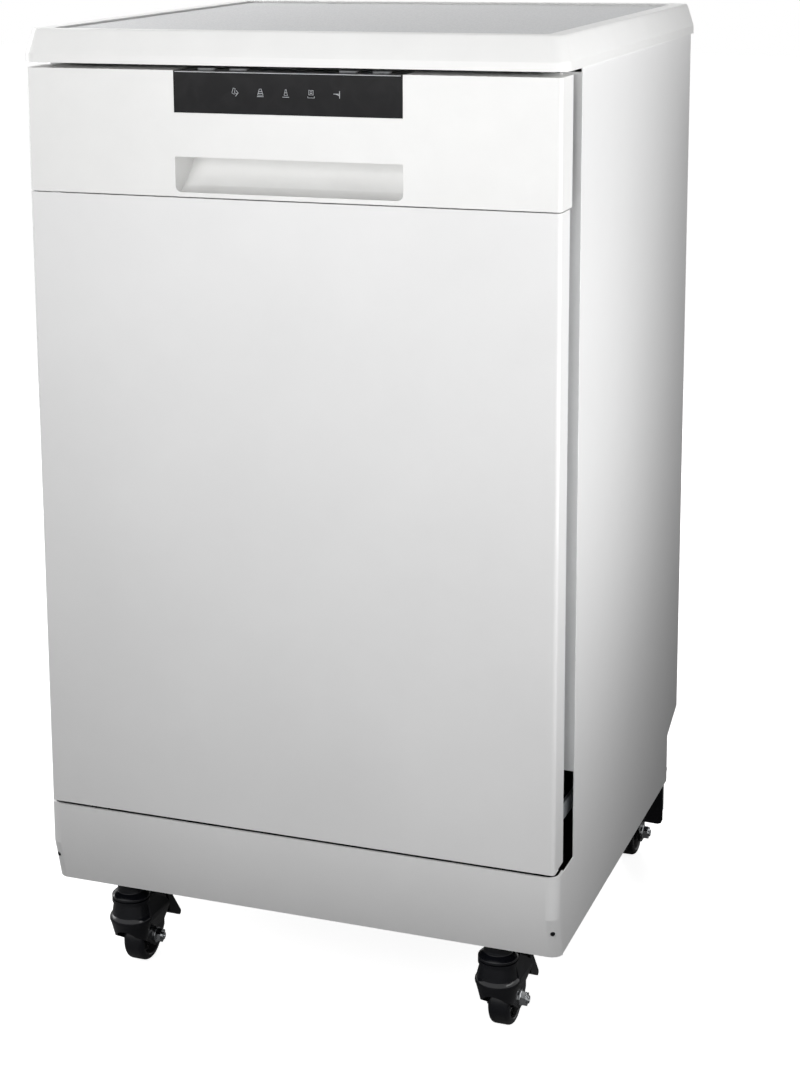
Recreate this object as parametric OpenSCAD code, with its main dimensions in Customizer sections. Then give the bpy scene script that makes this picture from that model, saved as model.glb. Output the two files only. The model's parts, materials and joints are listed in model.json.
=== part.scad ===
// Portable dishwasher on casters: a floor-standing machine with a raised worktop, a drop-down door,
// two wire racks, two spray arms and four wheels. Millimetres, +Z up, the door faces -Y.
// Origin: on the floor, under the middle of the worktop.

/* [Overall] */
// height from the floor to the top of the worktop rim
total_height = 965; // [930:5:1160]
// outer width over the two side panels
cabinet_width = 530; // [500:5:640]
// from the front face to the rear edge of the side panels
cabinet_depth = 510; // [490:5:620]
// ground to the underside of the base tray
ground_clearance = 104; // [100:1:120]

/* [Worktop] */
// height of the worktop rim
worktop_thickness = 31; // [24:1:40]
// how far the worktop reaches behind the side panels
worktop_rear_overhang = 20; // [15:1:40]
// width of the rim around the inset panel
worktop_rim = 17; // [12:1:30]
// how far the sides lean in toward the top
worktop_taper = 6; // [0:1:8]

/* [Door] */
// height of the moulded console above the door panel
console_height = 118; // [110:1:140]
// height of the kick plate below the door
kick_height = 85; // [80:1:110]
// gap between the kick plate, the door and the worktop
door_gap = 3; // [3:0.5:5]
// height of the hinge axis above the lower edge of the door
hinge_rise = 47; // [45:1:50]
// depth of the hinge axis behind the front face
hinge_depth = 30; // [29:0.5:31]

/* [Handle and window] */
// width of the pocket handle and of the window
pocket_width = 224; // [150:2:270]
// how far the pocket and the window sit right of the middle
pocket_offset = 4; // [0:1:20]
// depth of the pocket
pocket_depth = 46; // [40:1:46]
// height of the display window
window_height = 39; // [30:1:42]

/* [Tub and racks] */
// gap between a side panel and the tub
tub_side_gap = 33.6; // [33:0.2:45]
// how far the upper rack sits above the tub floor, as a share of the tub height
upper_rack_share = 0.6; // [0.55:0.01:0.62]
// height of the upper basket
upper_basket_height = 100; // [70:2:110]
// height of the lower basket
lower_basket_height = 104; // [80:2:140]
// wire radius of the baskets
wire_r = 1.8; // [1.5:0.1:2.2]

/* [Casters] */
// radius of the wheels
wheel_r = 27; // [25:1:30]
// width of the wheels
wheel_width = 22; // [18:1:26]
// rounding of the wheels' treads
tread_r = 5; // [3:0.5:7]
// sideways distance of the front casters from the middle
front_caster_x = 196; // [185:1:206]
// sideways distance of the rear wheels from the middle
rear_caster_x = 217; // [205:1:219]
// how far a wheel trails behind its swivel
caster_trail = 26; // [24:1:28]

/* [Hidden] */

// colours
enamel = "#f4f4f3";
pale_grey = "#c9cbcc";
black_plastic = "#1b1c1e";
steel = "#b9bcbf";
galvanised = "#8f9396";
rubber_grey = "#3a3b3d";
nylon_grey = "#7b7e82";
chrome_tone = "#d8dadc";
board_green = "#1f5a3a";

// sheet and fit sizes
sheet = 1.2;
rest_gap = 0.3;
fine_gap = 0.2;
cut = 1;
smooth = 64;
round_fn = 32;
wire_fn = 8;

// front plane, measured so that the worktop is centred on the origin
worktop_front = 2;
worktop_side = 1.5;
worktop_depth = worktop_front + cabinet_depth + worktop_rear_overhang;
front_y = -(worktop_depth / 2) + worktop_front;
half_w = cabinet_width / 2;
side_in = half_w - sheet;

// heights
z_base = ground_clearance;
base_floor = 4;
z_kick_low = z_base - 1;
z_kick_top = z_kick_low + kick_height;
z_kick_bend = z_kick_low + kick_height / 2;
kick_setback = 12;
z_door_low = z_kick_top + door_gap;
z_worktop = total_height - worktop_thickness;
z_door_top = z_worktop - 5;
z_seam = z_door_top - console_height;
hinge_z = z_door_low + hinge_rise;

// door
door_half = half_w - 3.4;
door_side_depth = 30;
console_side_depth = 37;
liner_half = half_w - 16.5;
liner_face = 51.7;
liner_low_face = hinge_depth + 10;
liner_low = z_door_low + 9;
liner_step = hinge_z + 14;

// tub
tub_half = side_in - tub_side_gap;
tub_wall = 1.5;
tub_front = 62;
tub_back = cabinet_depth - 18;
tub_floor = hinge_z + 23;
tub_top = z_door_top - 36;
tub_r = 34.5;
tub_mid_y = (tub_front + tub_back) / 2;
tub_height = tub_top - tub_floor;
float_x = 75;
float_y = 50;

// sump
sump_y = tub_mid_y - 32;
sump_r = 71;
cup_y = sump_y - 27;
cup_r = 30;
sump_low = z_base + 46;

// racks
rack_half = tub_half - 23;
upper_z = tub_floor + upper_rack_share * tub_height;
upper_front = 75;
upper_back = tub_back - 17;
rail_z = upper_z + 33;
lower_z = tub_floor + 35;
lower_front = 92;
lower_back = tub_back - 14;
rim_r = 2.6;
rack_pitch = 38;
rack_wheel_r = 13;
rack_wheel_z = tub_floor + rest_gap + rack_wheel_r;
rack_wheel_x = rack_pitch * floor(rack_half / rack_pitch);
rack_wheel_inset = 34;
arm_reach = 186;

// casters, in their own frame: swivel axis at x = 0, y = 0
fork_in = wheel_width / 2 + 1.5;
leg_half = fork_in + 2.5;
hood_half = leg_half + 7.5;
hood_r = 22.5;
hood_top = z_base - 26;
shoulder_z = wheel_r + 30;
race_r = 19.5;
swivel_r = 8;
front_caster_y = 40;
rear_axle_y = cabinet_depth - 20;
pedal_pin = [caster_trail + 17.5, hood_top - 3.5];
axle_r = 4;

// console items
pocket_low = z_seam + 5;
pocket_high = pocket_low + 33;
grip_high = pocket_high + 13;
window_low = z_door_top - window_height;
button_xs = [-82, -50, 58, 90];
button_y = 20;
board_z = z_door_top - 16;

// ---------- helpers ----------
// a box between two opposite corners
module slab(p, q) translate(p) cube(q - p);

// rounded rectangle centred on the origin
module rounded(w, h, r, fn = round_fn) {
  square([w - 2 * r, h], center = true);
  square([w, h - 2 * r], center = true);
  for (x = [-1, 1], y = [-1, 1])
    translate([x * (w / 2 - r), y * (h / 2 - r)]) circle(r, $fn = fn);
}

// a copy on each side of the middle
module both_sides() {
  children();
  mirror([1, 0, 0]) children();
}

// moves parts measured from the front face into the part frame
module at_front() translate([0, front_y, 0]) children();

// extrudes a side-view outline, drawn as [depth, height], from x0 to x1
module side_cut(x0, x1) translate([x0, 0, 0]) rotate([90, 0, 90]) linear_extrude(x1 - x0) children();

// extrudes a front-view outline, drawn as [x, height], from y0 to y1
module front_cut(y0, y1) translate([0, y1, 0]) rotate([90, 0, 0]) linear_extrude(y1 - y0) children();

// round bars along each axis
module rod_x(x0, x1, y, z, r, fn = round_fn)
  translate([x0, y, z]) rotate([0, 90, 0]) cylinder(h = x1 - x0, r = r, $fn = fn);
module rod_y(x, y0, y1, z, r, fn = round_fn)
  translate([x, y1, z]) rotate([90, 0, 0]) cylinder(h = y1 - y0, r = r, $fn = fn);
module rod_z(x, y, z0, z1, r, fn = round_fn)
  translate([x, y, z0]) cylinder(h = z1 - z0, r = r, $fn = fn);

// ---------- cabinet ----------
module base_chassis() color(black_plastic) at_front() {
  tray_half = half_w - 3;
  tray_front = 15;
  tray_back = cabinet_depth - 48;
  wall = 3;
  wall_top = z_base + 46;
  post = 20;
  post_x = tub_half * 0.78;
  post_top = tub_floor - tub_wall - fine_gap;
  difference() {
    union() {
      slab([-tray_half, tray_front, z_base], [tray_half, tray_back, z_base + base_floor]);
      both_sides() {
        slab([tray_half - wall, 24, z_base], [tray_half, tray_back, wall_top]);
        for (y = [tub_front + 63, tub_back - 67])
          slab([post_x - post / 2, y, z_base], [post_x + post / 2, y + post, post_top]);
        slab([wall, 24, z_base], [wall * 2, tray_back, z_base + 14]);
        slab([tray_half - 90, 24, z_base], [tray_half - 90 + wall, tray_back, z_base + 14]);
      }
      slab([-tray_half, 24, z_base], [tray_half, 24 + wall, z_base + 40]);
      slab([-tray_half, tray_back - wall, z_base], [tray_half, tray_back, z_base + 9]);
    }
    both_sides() slab([tray_half - 14, 0, z_base - cut], [tray_half + cut, 23, z_base + 9]);
    for (x = [-110, 110]) slab([x - 30, 60, z_base - cut], [x + 30, 66, z_base + base_floor + cut]);
  }
}

module side_panel() {
  flange = 20;
  top_flange = 16;
  kick_end = 22;
  front_edge = 56;
  notch_y = cabinet_depth - 46;
  panel_top = z_worktop - rest_gap;
  flange_low = z_door_low + 82;
  side_cut(side_in, half_w) polygon([[kick_end + fine_gap, z_base], [kick_end + fine_gap, z_kick_top - 1],
    [front_edge, z_kick_top - 1], [front_edge, panel_top], [cabinet_depth, panel_top],
    [cabinet_depth, z_kick_top - 11], [notch_y, z_kick_bend + 12], [notch_y, z_base]]);
  slab([side_in - flange, front_edge, flange_low], [side_in, front_edge + sheet, panel_top - 4]);
  slab([side_in - top_flange, front_edge, panel_top - sheet], [side_in, cabinet_depth, panel_top]);
  slab([side_in - 14, cabinet_depth - sheet, z_kick_top], [side_in, cabinet_depth, panel_top]);
}

module side_panel_left() color(enamel) at_front() mirror([1, 0, 0]) side_panel();
module side_panel_right() color(enamel) at_front() side_panel();

module kick_plate() color(enamel) at_front() {
  wall = 2.5;
  corner = 12;
  run = 100;
  end_y = 22;
  difference() {
    union() {
      translate([0, run / 2, z_kick_bend]) linear_extrude(z_kick_top - z_kick_bend)
        rounded(cabinet_width, run, corner, smooth);
      hull() {
        translate([0, run / 2 + kick_setback, z_kick_low]) linear_extrude(0.1)
          rounded(cabinet_width, run, corner, smooth);
        translate([0, run / 2, z_kick_bend]) linear_extrude(0.1) rounded(cabinet_width, run, corner, smooth);
      }
    }
    translate([0, run / 2, z_kick_bend]) linear_extrude(kick_height)
      rounded(cabinet_width - 2 * wall, run - 2 * wall, corner - wall, smooth);
    hull() {
      translate([0, run / 2 + kick_setback, z_kick_low - 0.1]) linear_extrude(0.1)
        rounded(cabinet_width - 2 * wall, run - 2 * wall, corner - wall, smooth);
      translate([0, run / 2, z_kick_bend]) linear_extrude(0.1)
        rounded(cabinet_width - 2 * wall, run - 2 * wall, corner - wall, smooth);
    }
    slab([-cabinet_width, end_y, 0], [cabinet_width, run * 2, total_height]);
  }
  for (x = [-150, 150])
    slab([x - 20, kick_setback + 1, z_base + base_floor + fine_gap],
      [x + 20, end_y, z_base + base_floor + 3]);
}

module rear_panel() color(galvanised) at_front() {
  back = cabinet_depth - 1.6;
  low_back = cabinet_depth - 46.6;
  t = sheet;
  port_z = z_base + 28;
  fold_z = z_kick_bend + 8;
  vent_w = 70;
  difference() {
    side_cut(-side_in + rest_gap, side_in - rest_gap) polygon([[back - t, z_worktop - 2],
      [back, z_worktop - 2],
      [back, z_kick_top - 11.6], [low_back, z_kick_bend + 11.4], [low_back, fold_z],
      [low_back - t, fold_z], [low_back - t, z_kick_bend + 12.2], [back - t, z_kick_top - 10.8]]);
    for (x = [-130, 130], i = [0 : 5])
      slab([x - vent_w / 2, back - 9, z_kick_top + 60 + i * 16],
        [x + vent_w / 2, back + 9, z_kick_top + 66 + i * 16]);
  }
  for (x = [-130, 130], i = [0 : 5])
    side_cut(x - vent_w / 2 + 1, x + vent_w / 2 - 1) polygon([[back - 0.2, z_kick_top + 66 + i * 16],
      [back + 1.2, z_kick_top + 62.5 + i * 16], [back + 1.4, z_kick_top + 63.2 + i * 16],
        [back, z_kick_top + 67 + i * 16]]);
  // the service plate below the fold, with a flush plate for each port: [x, hole radius, half width]
  ports = [[-150, 15, 45], [-60, 9.5, 30], [120, 11, 45]];
  port_half_h = 18;
  difference() {
    slab([-side_in + rest_gap, low_back - t, z_base + 0.5], [side_in - rest_gap, low_back,
      fold_z - fine_gap]);
    for (p = ports) translate([0, 0, port_z])
      slab([p[0] - p[2], low_back - 9, -port_half_h], [p[0] + p[2], low_back + 9, port_half_h]);
  }
  for (p = ports) difference() {
    translate([0, 0, port_z]) slab([p[0] - p[2] + rest_gap, low_back - t, -port_half_h + rest_gap],
      [p[0] + p[2] - rest_gap, low_back, port_half_h - rest_gap]);
    rod_y(p[0], low_back - 9, low_back + 9, port_z, p[1]);
  }
}

module worktop_frame() color(enamel) translate([0, 0, z_worktop]) {
  width = cabinet_width + 2 * worktop_side;
  top_w = width - 2 * worktop_taper;
  top_d = worktop_depth - 2 * worktop_taper;
  corner = 16;
  panel_t = 14;
  ledge = 9;
  difference() {
    hull() {
      linear_extrude(8) rounded(width, worktop_depth, corner);
      translate([0, 0, worktop_thickness - 3]) linear_extrude(1) rounded(top_w, top_d, corner - 3);
      translate([0, 0, worktop_thickness - 1]) linear_extrude(1) rounded(top_w - 3, top_d - 3, corner - 4);
    }
    translate([0, 0, worktop_thickness - panel_t - 2]) linear_extrude(panel_t * 2)
      rounded(top_w - 2 * worktop_rim, top_d - 2 * worktop_rim, 8);
    translate([0, 0, -cut]) linear_extrude(worktop_thickness)
      rounded(top_w - 2 * worktop_rim - 2 * ledge, top_d - 2 * worktop_rim - 2 * ledge, 8);
  }
  for (y = [-150, 0, 150])
    slab([-top_w / 2 + worktop_rim + 4, y - 2, 4], [top_w / 2 - worktop_rim - 4, y + 2,
      worktop_thickness - panel_t - 2.2]);
}

module worktop_panel() color(pale_grey) {
  top_w = cabinet_width + 2 * worktop_side - 2 * worktop_taper - 2 * worktop_rim - 0.6;
  top_d = worktop_depth - 2 * worktop_taper - 2 * worktop_rim - 0.6;
  translate([0, 0, total_height - 16 + 0.1]) linear_extrude(13.9) rounded(top_w, top_d, 7.7);
}

// ---------- tub and machine bay ----------
// the tub's section in front view, grown by a margin
module tub_section(grow) translate([0, (tub_floor + tub_top) / 2])
  rounded(2 * (tub_half + grow), tub_height + 2 * grow, tub_r + grow, smooth);

module tub() color(steel) at_front() {
  flange_half = tub_half + 20;
  flange_low = tub_floor - 13;
  flange_top = tub_top + 15;
  difference() {
    union() {
      front_cut(tub_front, tub_back + tub_wall) tub_section(tub_wall);
      front_cut(tub_front - 2, tub_front) translate([0, (flange_low + flange_top) / 2])
        rounded(2 * flange_half, flange_top - flange_low, 20);
    }
    front_cut(tub_front - 3, tub_back) tub_section(0);
    rod_z(0, sump_y, tub_floor - 9, tub_floor + 9, sump_r + 1, smooth);
    rod_y(0, tub_back - 9, tub_back + 9, upper_z - 12, 12);
    rod_x(-tub_half - 9, -tub_half + 9, tub_mid_y + 20, tub_floor + 80, 22);
    rod_z(-tub_half + float_x, tub_front + float_y, tub_floor - 9, tub_floor + 9, 7.8);
  }
}

module tub_gasket() color(rubber_grey) at_front() front_cut(tub_front - 10, tub_front - 2 - 0.1)
  difference() {
    tub_section(9);
    tub_section(1);
  }

module upper_rails() color(steel) at_front() both_sides() {
  out = tub_half - rest_gap;
  high = 10;
  front_cut(tub_front + 8, tub_back - 6) difference() {
    translate([out - high, rail_z - high]) square([high, 2 * high]);
    translate([out - high - cut, rail_z - high + 2]) square([high - 2 + cut, 2 * high - 4]);
  }
  slab([out - high, tub_back - 8, rail_z - high], [out, tub_back - 6, rail_z + high]);
}

module sump() color(black_plastic) at_front() {
  wall = 2.5;
  rim_z = tub_floor + fine_gap;
  bowl = tub_floor - 58;
  post_r = 11;
  stub_r = 8;
  arm_z = tub_floor + 9;
  difference() {
    union() {
      rod_z(0, sump_y, rim_z, rim_z + 2, sump_r + 8, smooth);
      rod_z(0, sump_y, bowl, rim_z + 1, sump_r, smooth);
      rod_z(0, cup_y, sump_low, bowl + 1, cup_r + 6, smooth);
      rod_x(cup_r, 62, cup_y, sump_low + 20, 16);
      rod_x(-62, -cup_r, cup_y, sump_low + 16, 13);
    }
    difference() {
      rod_z(0, sump_y, bowl + wall, rim_z + 9, sump_r - wall, smooth);
      difference() {
        rod_z(0, sump_y, tub_floor - 18, tub_floor - 14.2, sump_r, smooth);
        rod_z(0, sump_y, tub_floor - 19, tub_floor - 13, sump_r - 8, smooth);
      }
    }
    rod_z(0, cup_y, sump_low + wall, bowl + wall * 2, cup_r + 6 - wall, smooth);
    rod_x(cup_r, 62 + cut, cup_y, sump_low + 20, 13.4);
    rod_x(-62 - cut, -cup_r, cup_y, sump_low + 16, 10.4);
  }
  difference() {
    union() {
      rod_z(0, tub_mid_y, bowl, arm_z, post_r);
      rod_z(0, tub_mid_y, arm_z - cut, arm_z + 21, stub_r);
      rod_z(0, tub_mid_y, arm_z + 18.4, arm_z + 21.4, 12);
    }
    rod_z(0, tub_mid_y, bowl + wall, arm_z + 12, 6);
  }
}

module filter_plate() color(steel) at_front() {
  z0 = tub_floor - 14;
  difference() {
    rod_z(0, sump_y, z0, z0 + sheet, sump_r - 3.2, smooth);
    rod_z(0, cup_y, z0 - cut, z0 + 9, cup_r + 0.6, smooth);
    rod_z(0, tub_mid_y, z0 - cut, z0 + 9, 11.6);
    for (a = [-40 : 16 : 220]) translate([0, sump_y, 0]) rotate([0, 0, a]) for (r = [48, 56])
      rod_z(r, 0, z0 - cut, z0 + 9, 2.2, wire_fn);
  }
}

module filter_cup() color(nylon_grey) at_front() {
  top = tub_floor - 14 + sheet + rest_gap;
  low = sump_low + 12;
  difference() {
    union() {
      rod_z(0, cup_y, top, top + 2.5, cup_r + 4, smooth);
      rod_z(0, cup_y, low, top + 1, cup_r - 0.2, smooth);
    }
    rod_z(0, cup_y, low + 2, top + 9, cup_r - 2.4, smooth);
    for (a = [0 : 30 : 330], z = [low + 14, low + 44])
      translate([0, cup_y, z]) rotate([0, 0, a]) slab([cup_r - 8, -4, 0], [cup_r + 8, 4, 22]);
  }
  slab([-cup_r + 1, cup_y - 2, top - 8], [cup_r - 1, cup_y + 2, top + 11]);
  slab([-2, cup_y - cup_r + 1, top - 8], [2, cup_y + cup_r - 1, top + 2]);
}

module wash_pump() color(galvanised) at_front() {
  z = sump_low + 20;
  difference() {
    union() {
      rod_x(56, 76, cup_y, z, 13);
      rod_x(74, 98, cup_y, z, 36, smooth);
      rod_x(98, 176, cup_y, z, 33, smooth);
      rod_x(176, 184, cup_y, z, 18);
      rod_x(184, 196, cup_y, z, 6);
      for (x = [106 : 12 : 166]) rod_x(x, x + 3, cup_y, z, 35, smooth);
      for (x = [92, 160]) slab([x, cup_y - 22, z_base + base_floor + fine_gap], [x + 8, cup_y + 22, z - 20]);
      rod_z(86, cup_y + 22, z, z + 30, 9);
    }
    rod_x(50, 84, cup_y, z, 10);
  }
}

module drain_pump() color(black_plastic) at_front() {
  z = sump_low + 16;
  difference() {
    union() {
      rod_x(-70, -56, cup_y, z, 10);
      rod_x(-96, -68, cup_y, z, 26, smooth);
      rod_x(-138, -96, cup_y, z, 20, smooth);
      rod_y(-82, cup_y + 20, cup_y + 44, z - 8, 8);
      slab([-92, cup_y - 16, z_base + base_floor + fine_gap], [-76, cup_y + 16, z - 20]);
    }
    rod_x(-84, -50, cup_y, z, 7.5);
    rod_y(-82, cup_y + 26, cup_y + 45, z - 8, 6);
  }
}

module inlet_valve() color(black_plastic) at_front() {
  back = cabinet_depth - 46.6;
  z = z_base + 28;
  difference() {
    union() {
      rod_y(-150, back - 1.4 - 30, back - 1.4, z, 18);
      rod_y(-150, back - 3, back + 24, z, 12);
      rod_y(-150, back + 3, back + 24, z, 13.2, smooth);
      slab([-166, back - 58, z - 14], [-134, back - 30, z + 20]);
      rod_z(-150, back - 44, z, z + 34, 8);
      slab([-164, back - 50, z_base + base_floor + fine_gap], [-136, back - 30, z]);
    }
    rod_y(-150, back - 20, back + 25, z, 9);
  }
}

module drain_spigot() color(black_plastic) at_front() {
  back = cabinet_depth - 46.6;
  z = z_base + 28;
  difference() {
    union() {
      rod_y(120, back - 30, back + 26, z, 9.6, smooth);
      rod_y(120, back - 4.4, back - 1.4, z, 15);
      slab([112, back - 20, z_base + base_floor + fine_gap], [128, back - 12, z]);
    }
    rod_y(120, back - 31, back + 27, z, 7, smooth);
  }
}

module cord_gland() color(black_plastic) at_front() {
  back = cabinet_depth - 46.6;
  z = z_base + 28;
  difference() {
    union() {
      rod_y(-60, back - 12, back + 5, z, 9);
      rod_y(-60, back + 0.2, back + 4, z, 12);
      rod_y(-60, back - 4.6, back - 1.4, z, 12, 6);
    }
    rod_y(-60, back - 13, back + 6, z, 5);
  }
}

module air_break() color(nylon_grey) at_front() {
  x1 = -tub_half - tub_wall - rest_gap;
  x0 = -side_in + 4;
  y0 = tub_mid_y - 110;
  z0 = tub_floor + 42;
  difference() {
    union() {
      slab([x0, y0, z0], [x1, y0 + 230, z0 + 380]);
      rod_x(x1 - 1, -tub_half + 4, tub_mid_y + 20, tub_floor + 80, 20);
    }
    for (i = [0 : 4]) slab([x0 - cut, y0 + 12, z0 + 90 + i * 56], [x0 + 9, y0 + 218, z0 + 134 + i * 56]);
    rod_x(x0 + 12, -tub_half + 5, tub_mid_y + 20, tub_floor + 80, 16);
  }
}

module feed_tube() color(nylon_grey) at_front() {
  z = tub_floor - 44;
  back = tub_back + tub_wall + 1;
  difference() {
    union() {
      rod_y(0, sump_y + sump_r + rest_gap, back + 6, z, 11);
      slab([-16, back, z - 11], [16, back + 10, upper_z + 4]);
      rod_y(0, tub_back - 8, back + 4, upper_z - 12, 11.6);
    }
    rod_y(0, sump_y + sump_r, back + 4, z, 8);
    slab([-13, back + 2, z - 8], [13, back + 8, upper_z + 1]);
    rod_y(0, tub_back - 9, back + 4, upper_z - 12, 9);
  }
}

module hinge_brackets() color(galvanised) at_front() both_sides() {
  x0 = half_w - 9.5;
  x1 = half_w - 6.5;
  pin_r = 4;
  z0 = z_base + base_floor + fine_gap;
  side_cut(x0, x1) union() {
    translate([hinge_depth, hinge_z]) circle(9, $fn = round_fn);
    polygon([[hinge_depth, hinge_z - 8], [88, hinge_z - 10], [92, z0], [112, z0], [104, hinge_z + 6],
      [hinge_depth, hinge_z + 8]]);
  }
  slab([x0 - 18, 92, z0], [x1, 112, z0 + 3]);
  rod_x(liner_half + 0.4, x0 + 1, hinge_depth, hinge_z, pin_r);
}

module door_strike() color(steel) at_front() {
  z = tub_top + 10.5;
  slab([-20, tub_front - 4.1, tub_top + 9.6], [20, tub_front - 2.1, tub_top + 18]);
  difference() {
    slab([-8, tub_front - 24, z], [8, tub_front - 3, z + 2.5]);
    slab([-4, tub_front - 19, z - cut], [4, tub_front - 13, z + 9]);
  }
}

module float_cap() color(nylon_grey) at_front() {
  x = -tub_half + float_x;
  y = tub_front + float_y;
  rod_z(x, y, tub_floor - 40, tub_floor + 6, 7.5);
  difference() {
    rod_z(x, y, tub_floor + 4, tub_floor + 26, 17);
    rod_z(x, y, tub_floor + 3, tub_floor + 23, 15);
  }
  rod_z(x, y, tub_floor, tub_floor + 24, 3);
}

// ---------- casters ----------
// points on an arc, for outlines
function arc(centre, r, from, to, steps = 5) =
  [for (i = [0 : steps]) let (a = from + (to - from) * i / steps) centre + r * [cos(a), sin(a)]];

module caster_plates() color(black_plastic) at_front() both_sides()
  translate([front_caster_x, front_caster_y, 0]) {
  difference() {
    translate([0, 6, z_base - 3.8]) linear_extrude(3.6) rounded(58, 56, 6);
    for (x = [-21, 21], y = [-14, 26]) rod_z(x, y, z_base - 5, z_base + 1, 3.5);
  }
  rotate_extrude($fn = smooth) polygon([[0, hood_top + 1 + rest_gap], [race_r - 1, hood_top + 1 + rest_gap],
    [race_r, hood_top + 2.5], [race_r, hood_top + 4.5], [race_r - 2, hood_top + 6.5],
      [race_r - 5.5, hood_top + 9],
    [race_r - 6, hood_top + 12], [race_r - 6, z_base - 3], [0, z_base - 3]]);
  rod_z(0, 0, hood_top - 4, hood_top + 5, swivel_r);
}

// the hood's body, grown or shrunk by g: a bell round the swivel, carried back over the wheel
module hood_body(g) {
  axle = [caster_trail, wheel_r];
  foot_z = axle.y - 5;
  rotate_extrude($fn = smooth) polygon(concat([[0, foot_z], [leg_half - 1.5 + g, foot_z]],
    arc([hood_r + g - 6, shoulder_z], 6, -35, 55), [[race_r - 1.5 + g, hood_top - 4],
      [race_r - 2.5 + g, hood_top + g], [0, hood_top + g]]));
  intersection() {
    side_cut(-hood_half - cut, hood_half + cut) union() {
      polygon([[0, hood_top + g], [0, foot_z], [axle.x + 14 + g, foot_z], [axle.x + 20 + g, foot_z + 8],
        [axle.x + 20 + g, shoulder_z - 4], [axle.x + 18.5 + g, shoulder_z + 1],
          [axle.x + 13 + g, shoulder_z + 7 + g],
        [axle.x - 4 + g, hood_top - 3 + g], [axle.x - 8, hood_top + g]]);
      translate(axle) circle(11 + g, $fn = round_fn);
    }
    front_cut(-cut, 100) polygon([[-leg_half - g, 0], [-leg_half - g, wheel_r + 9],
      [-hood_half + 1 - g, shoulder_z - 4],
      [-hood_half + 0.6 - g, shoulder_z + 2], [-race_r + 1.5 - g, hood_top - 4],
        [-race_r + 2.5 - g, hood_top + cut],
      [race_r - 2.5 + g, hood_top + cut], [race_r - 1.5 + g, hood_top - 4],
        [hood_half - 0.6 + g, shoulder_z + 2],
      [hood_half - 1 + g, shoulder_z - 4], [leg_half + g, wheel_r + 9], [leg_half + g, 0]]);
  }
}

// a swivelling hood whose legs hold the axle
module caster_fork() {
  axle = [caster_trail, wheel_r];
  wall = 2.5;
  lug = 6;
  difference() {
    union() {
      difference() {
        hood_body(0);
        intersection() {
          hood_body(-wall);
          slab([-hood_r, -60, 0], [hood_r, 100, hood_top - wall]);
        }
        side_cut(-hood_r - cut, hood_r + cut) polygon([[-hood_r - 5, shoulder_z - 8],
          [axle.x - 13, wheel_r - 3],
          [axle.x - 9, -cut], [-hood_r - 5, -cut]]);
        front_cut(-60, axle.x) union() {
          translate([-fork_in, 0]) square([2 * fork_in, wheel_r + 8]);
          translate([0, wheel_r + 8]) circle(fork_in, $fn = round_fn);
        }
        slab([-fork_in, -60, -cut], [fork_in, 100, wheel_r + 2]);
      }
      rod_z(0, 0, hood_top - wall, hood_top + 1, race_r, smooth);
      side_cut(-lug, lug) polygon([[caster_trail, hood_top - 6], [caster_trail + 14, shoulder_z + 6],
        [pedal_pin.x + 3, pedal_pin.y - 3.5], [pedal_pin.x, pedal_pin.y + 5], [caster_trail - 2, hood_top]]);
      rod_x(-lug, lug, pedal_pin.x, pedal_pin.y, 5);
    }
    rod_x(-fork_in, fork_in, axle.x, axle.y, wheel_r + 2, smooth);
    rod_z(0, 0, 0, total_height, swivel_r + rest_gap);
    rod_x(-60, 60, axle.x, axle.y, axle_r + 0.1);
    rod_x(-60, 60, pedal_pin.x, pedal_pin.y, 2.1);
  }
}

// the brake pedal pivots behind the hood, and its cheeked foot plate slopes down behind the wheel
module brake_pedal() {
  half = hood_half - 4;
  px = pedal_pin.x;
  pz = pedal_pin.y;
  difference() {
    side_cut(-half, half) union() {
      translate(pedal_pin) circle(5, $fn = round_fn);
      polygon(concat([[px, pz - 5], [px, pz + 5], [px + 5, pz + 3.5], [px + 10, pz - 5], [px + 18, pz - 19],
        [px + 34, pz - 40]], arc([px + 33, pz - 44.5], 3.5, 30, -80, 6), [[px + 26, pz - 44],
          [px + 9, pz - 34],
        [px + 8, pz - 22], [px + 4, pz - 10]]));
    }
    side_cut(-half + 3, half - 3) polygon([[px - 2, pz - 13], [px + 6.5, pz - 13], [px + 14, pz - 24],
      [px + 29, pz - 43], [px + 30, pz - 60], [px, pz - 60]]);
    slab([-6.5, px - 20, pz - 8], [6.5, px + 7, pz + 10]);
    for (x = [-half + 4 : 6 : half - 3]) side_cut(x - 1, x + 1)
      polygon([[px + 21, pz - 22.9], [px + 34, pz - 40],
      [px + 32.6, pz - 40.4], [px + 20, pz - 23.6]]);
  }
  rod_x(-half + 2, half - 2, px, pz, 2);
}

// an axle bolt: hexagon head on one side, washer, nut and thread end on the other
module caster_axle(reach) {
  difference() {
    union() {
      rod_x(-reach - 3, reach + 3, 0, 0, axle_r);
      rod_x(reach, reach + 1.5, 0, 0, 8);
      rod_x(reach + 1.4, reach + 7, 0, 0, 7.5, 6);
      rod_x(-reach - 4, -reach, 0, 0, 7.5, 6);
      rod_x(reach + 6, reach + 9, 0, 0, axle_r);
    }
    rod_x(reach + 8, reach + 10, 0, 0, 2);
  }
}

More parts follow.
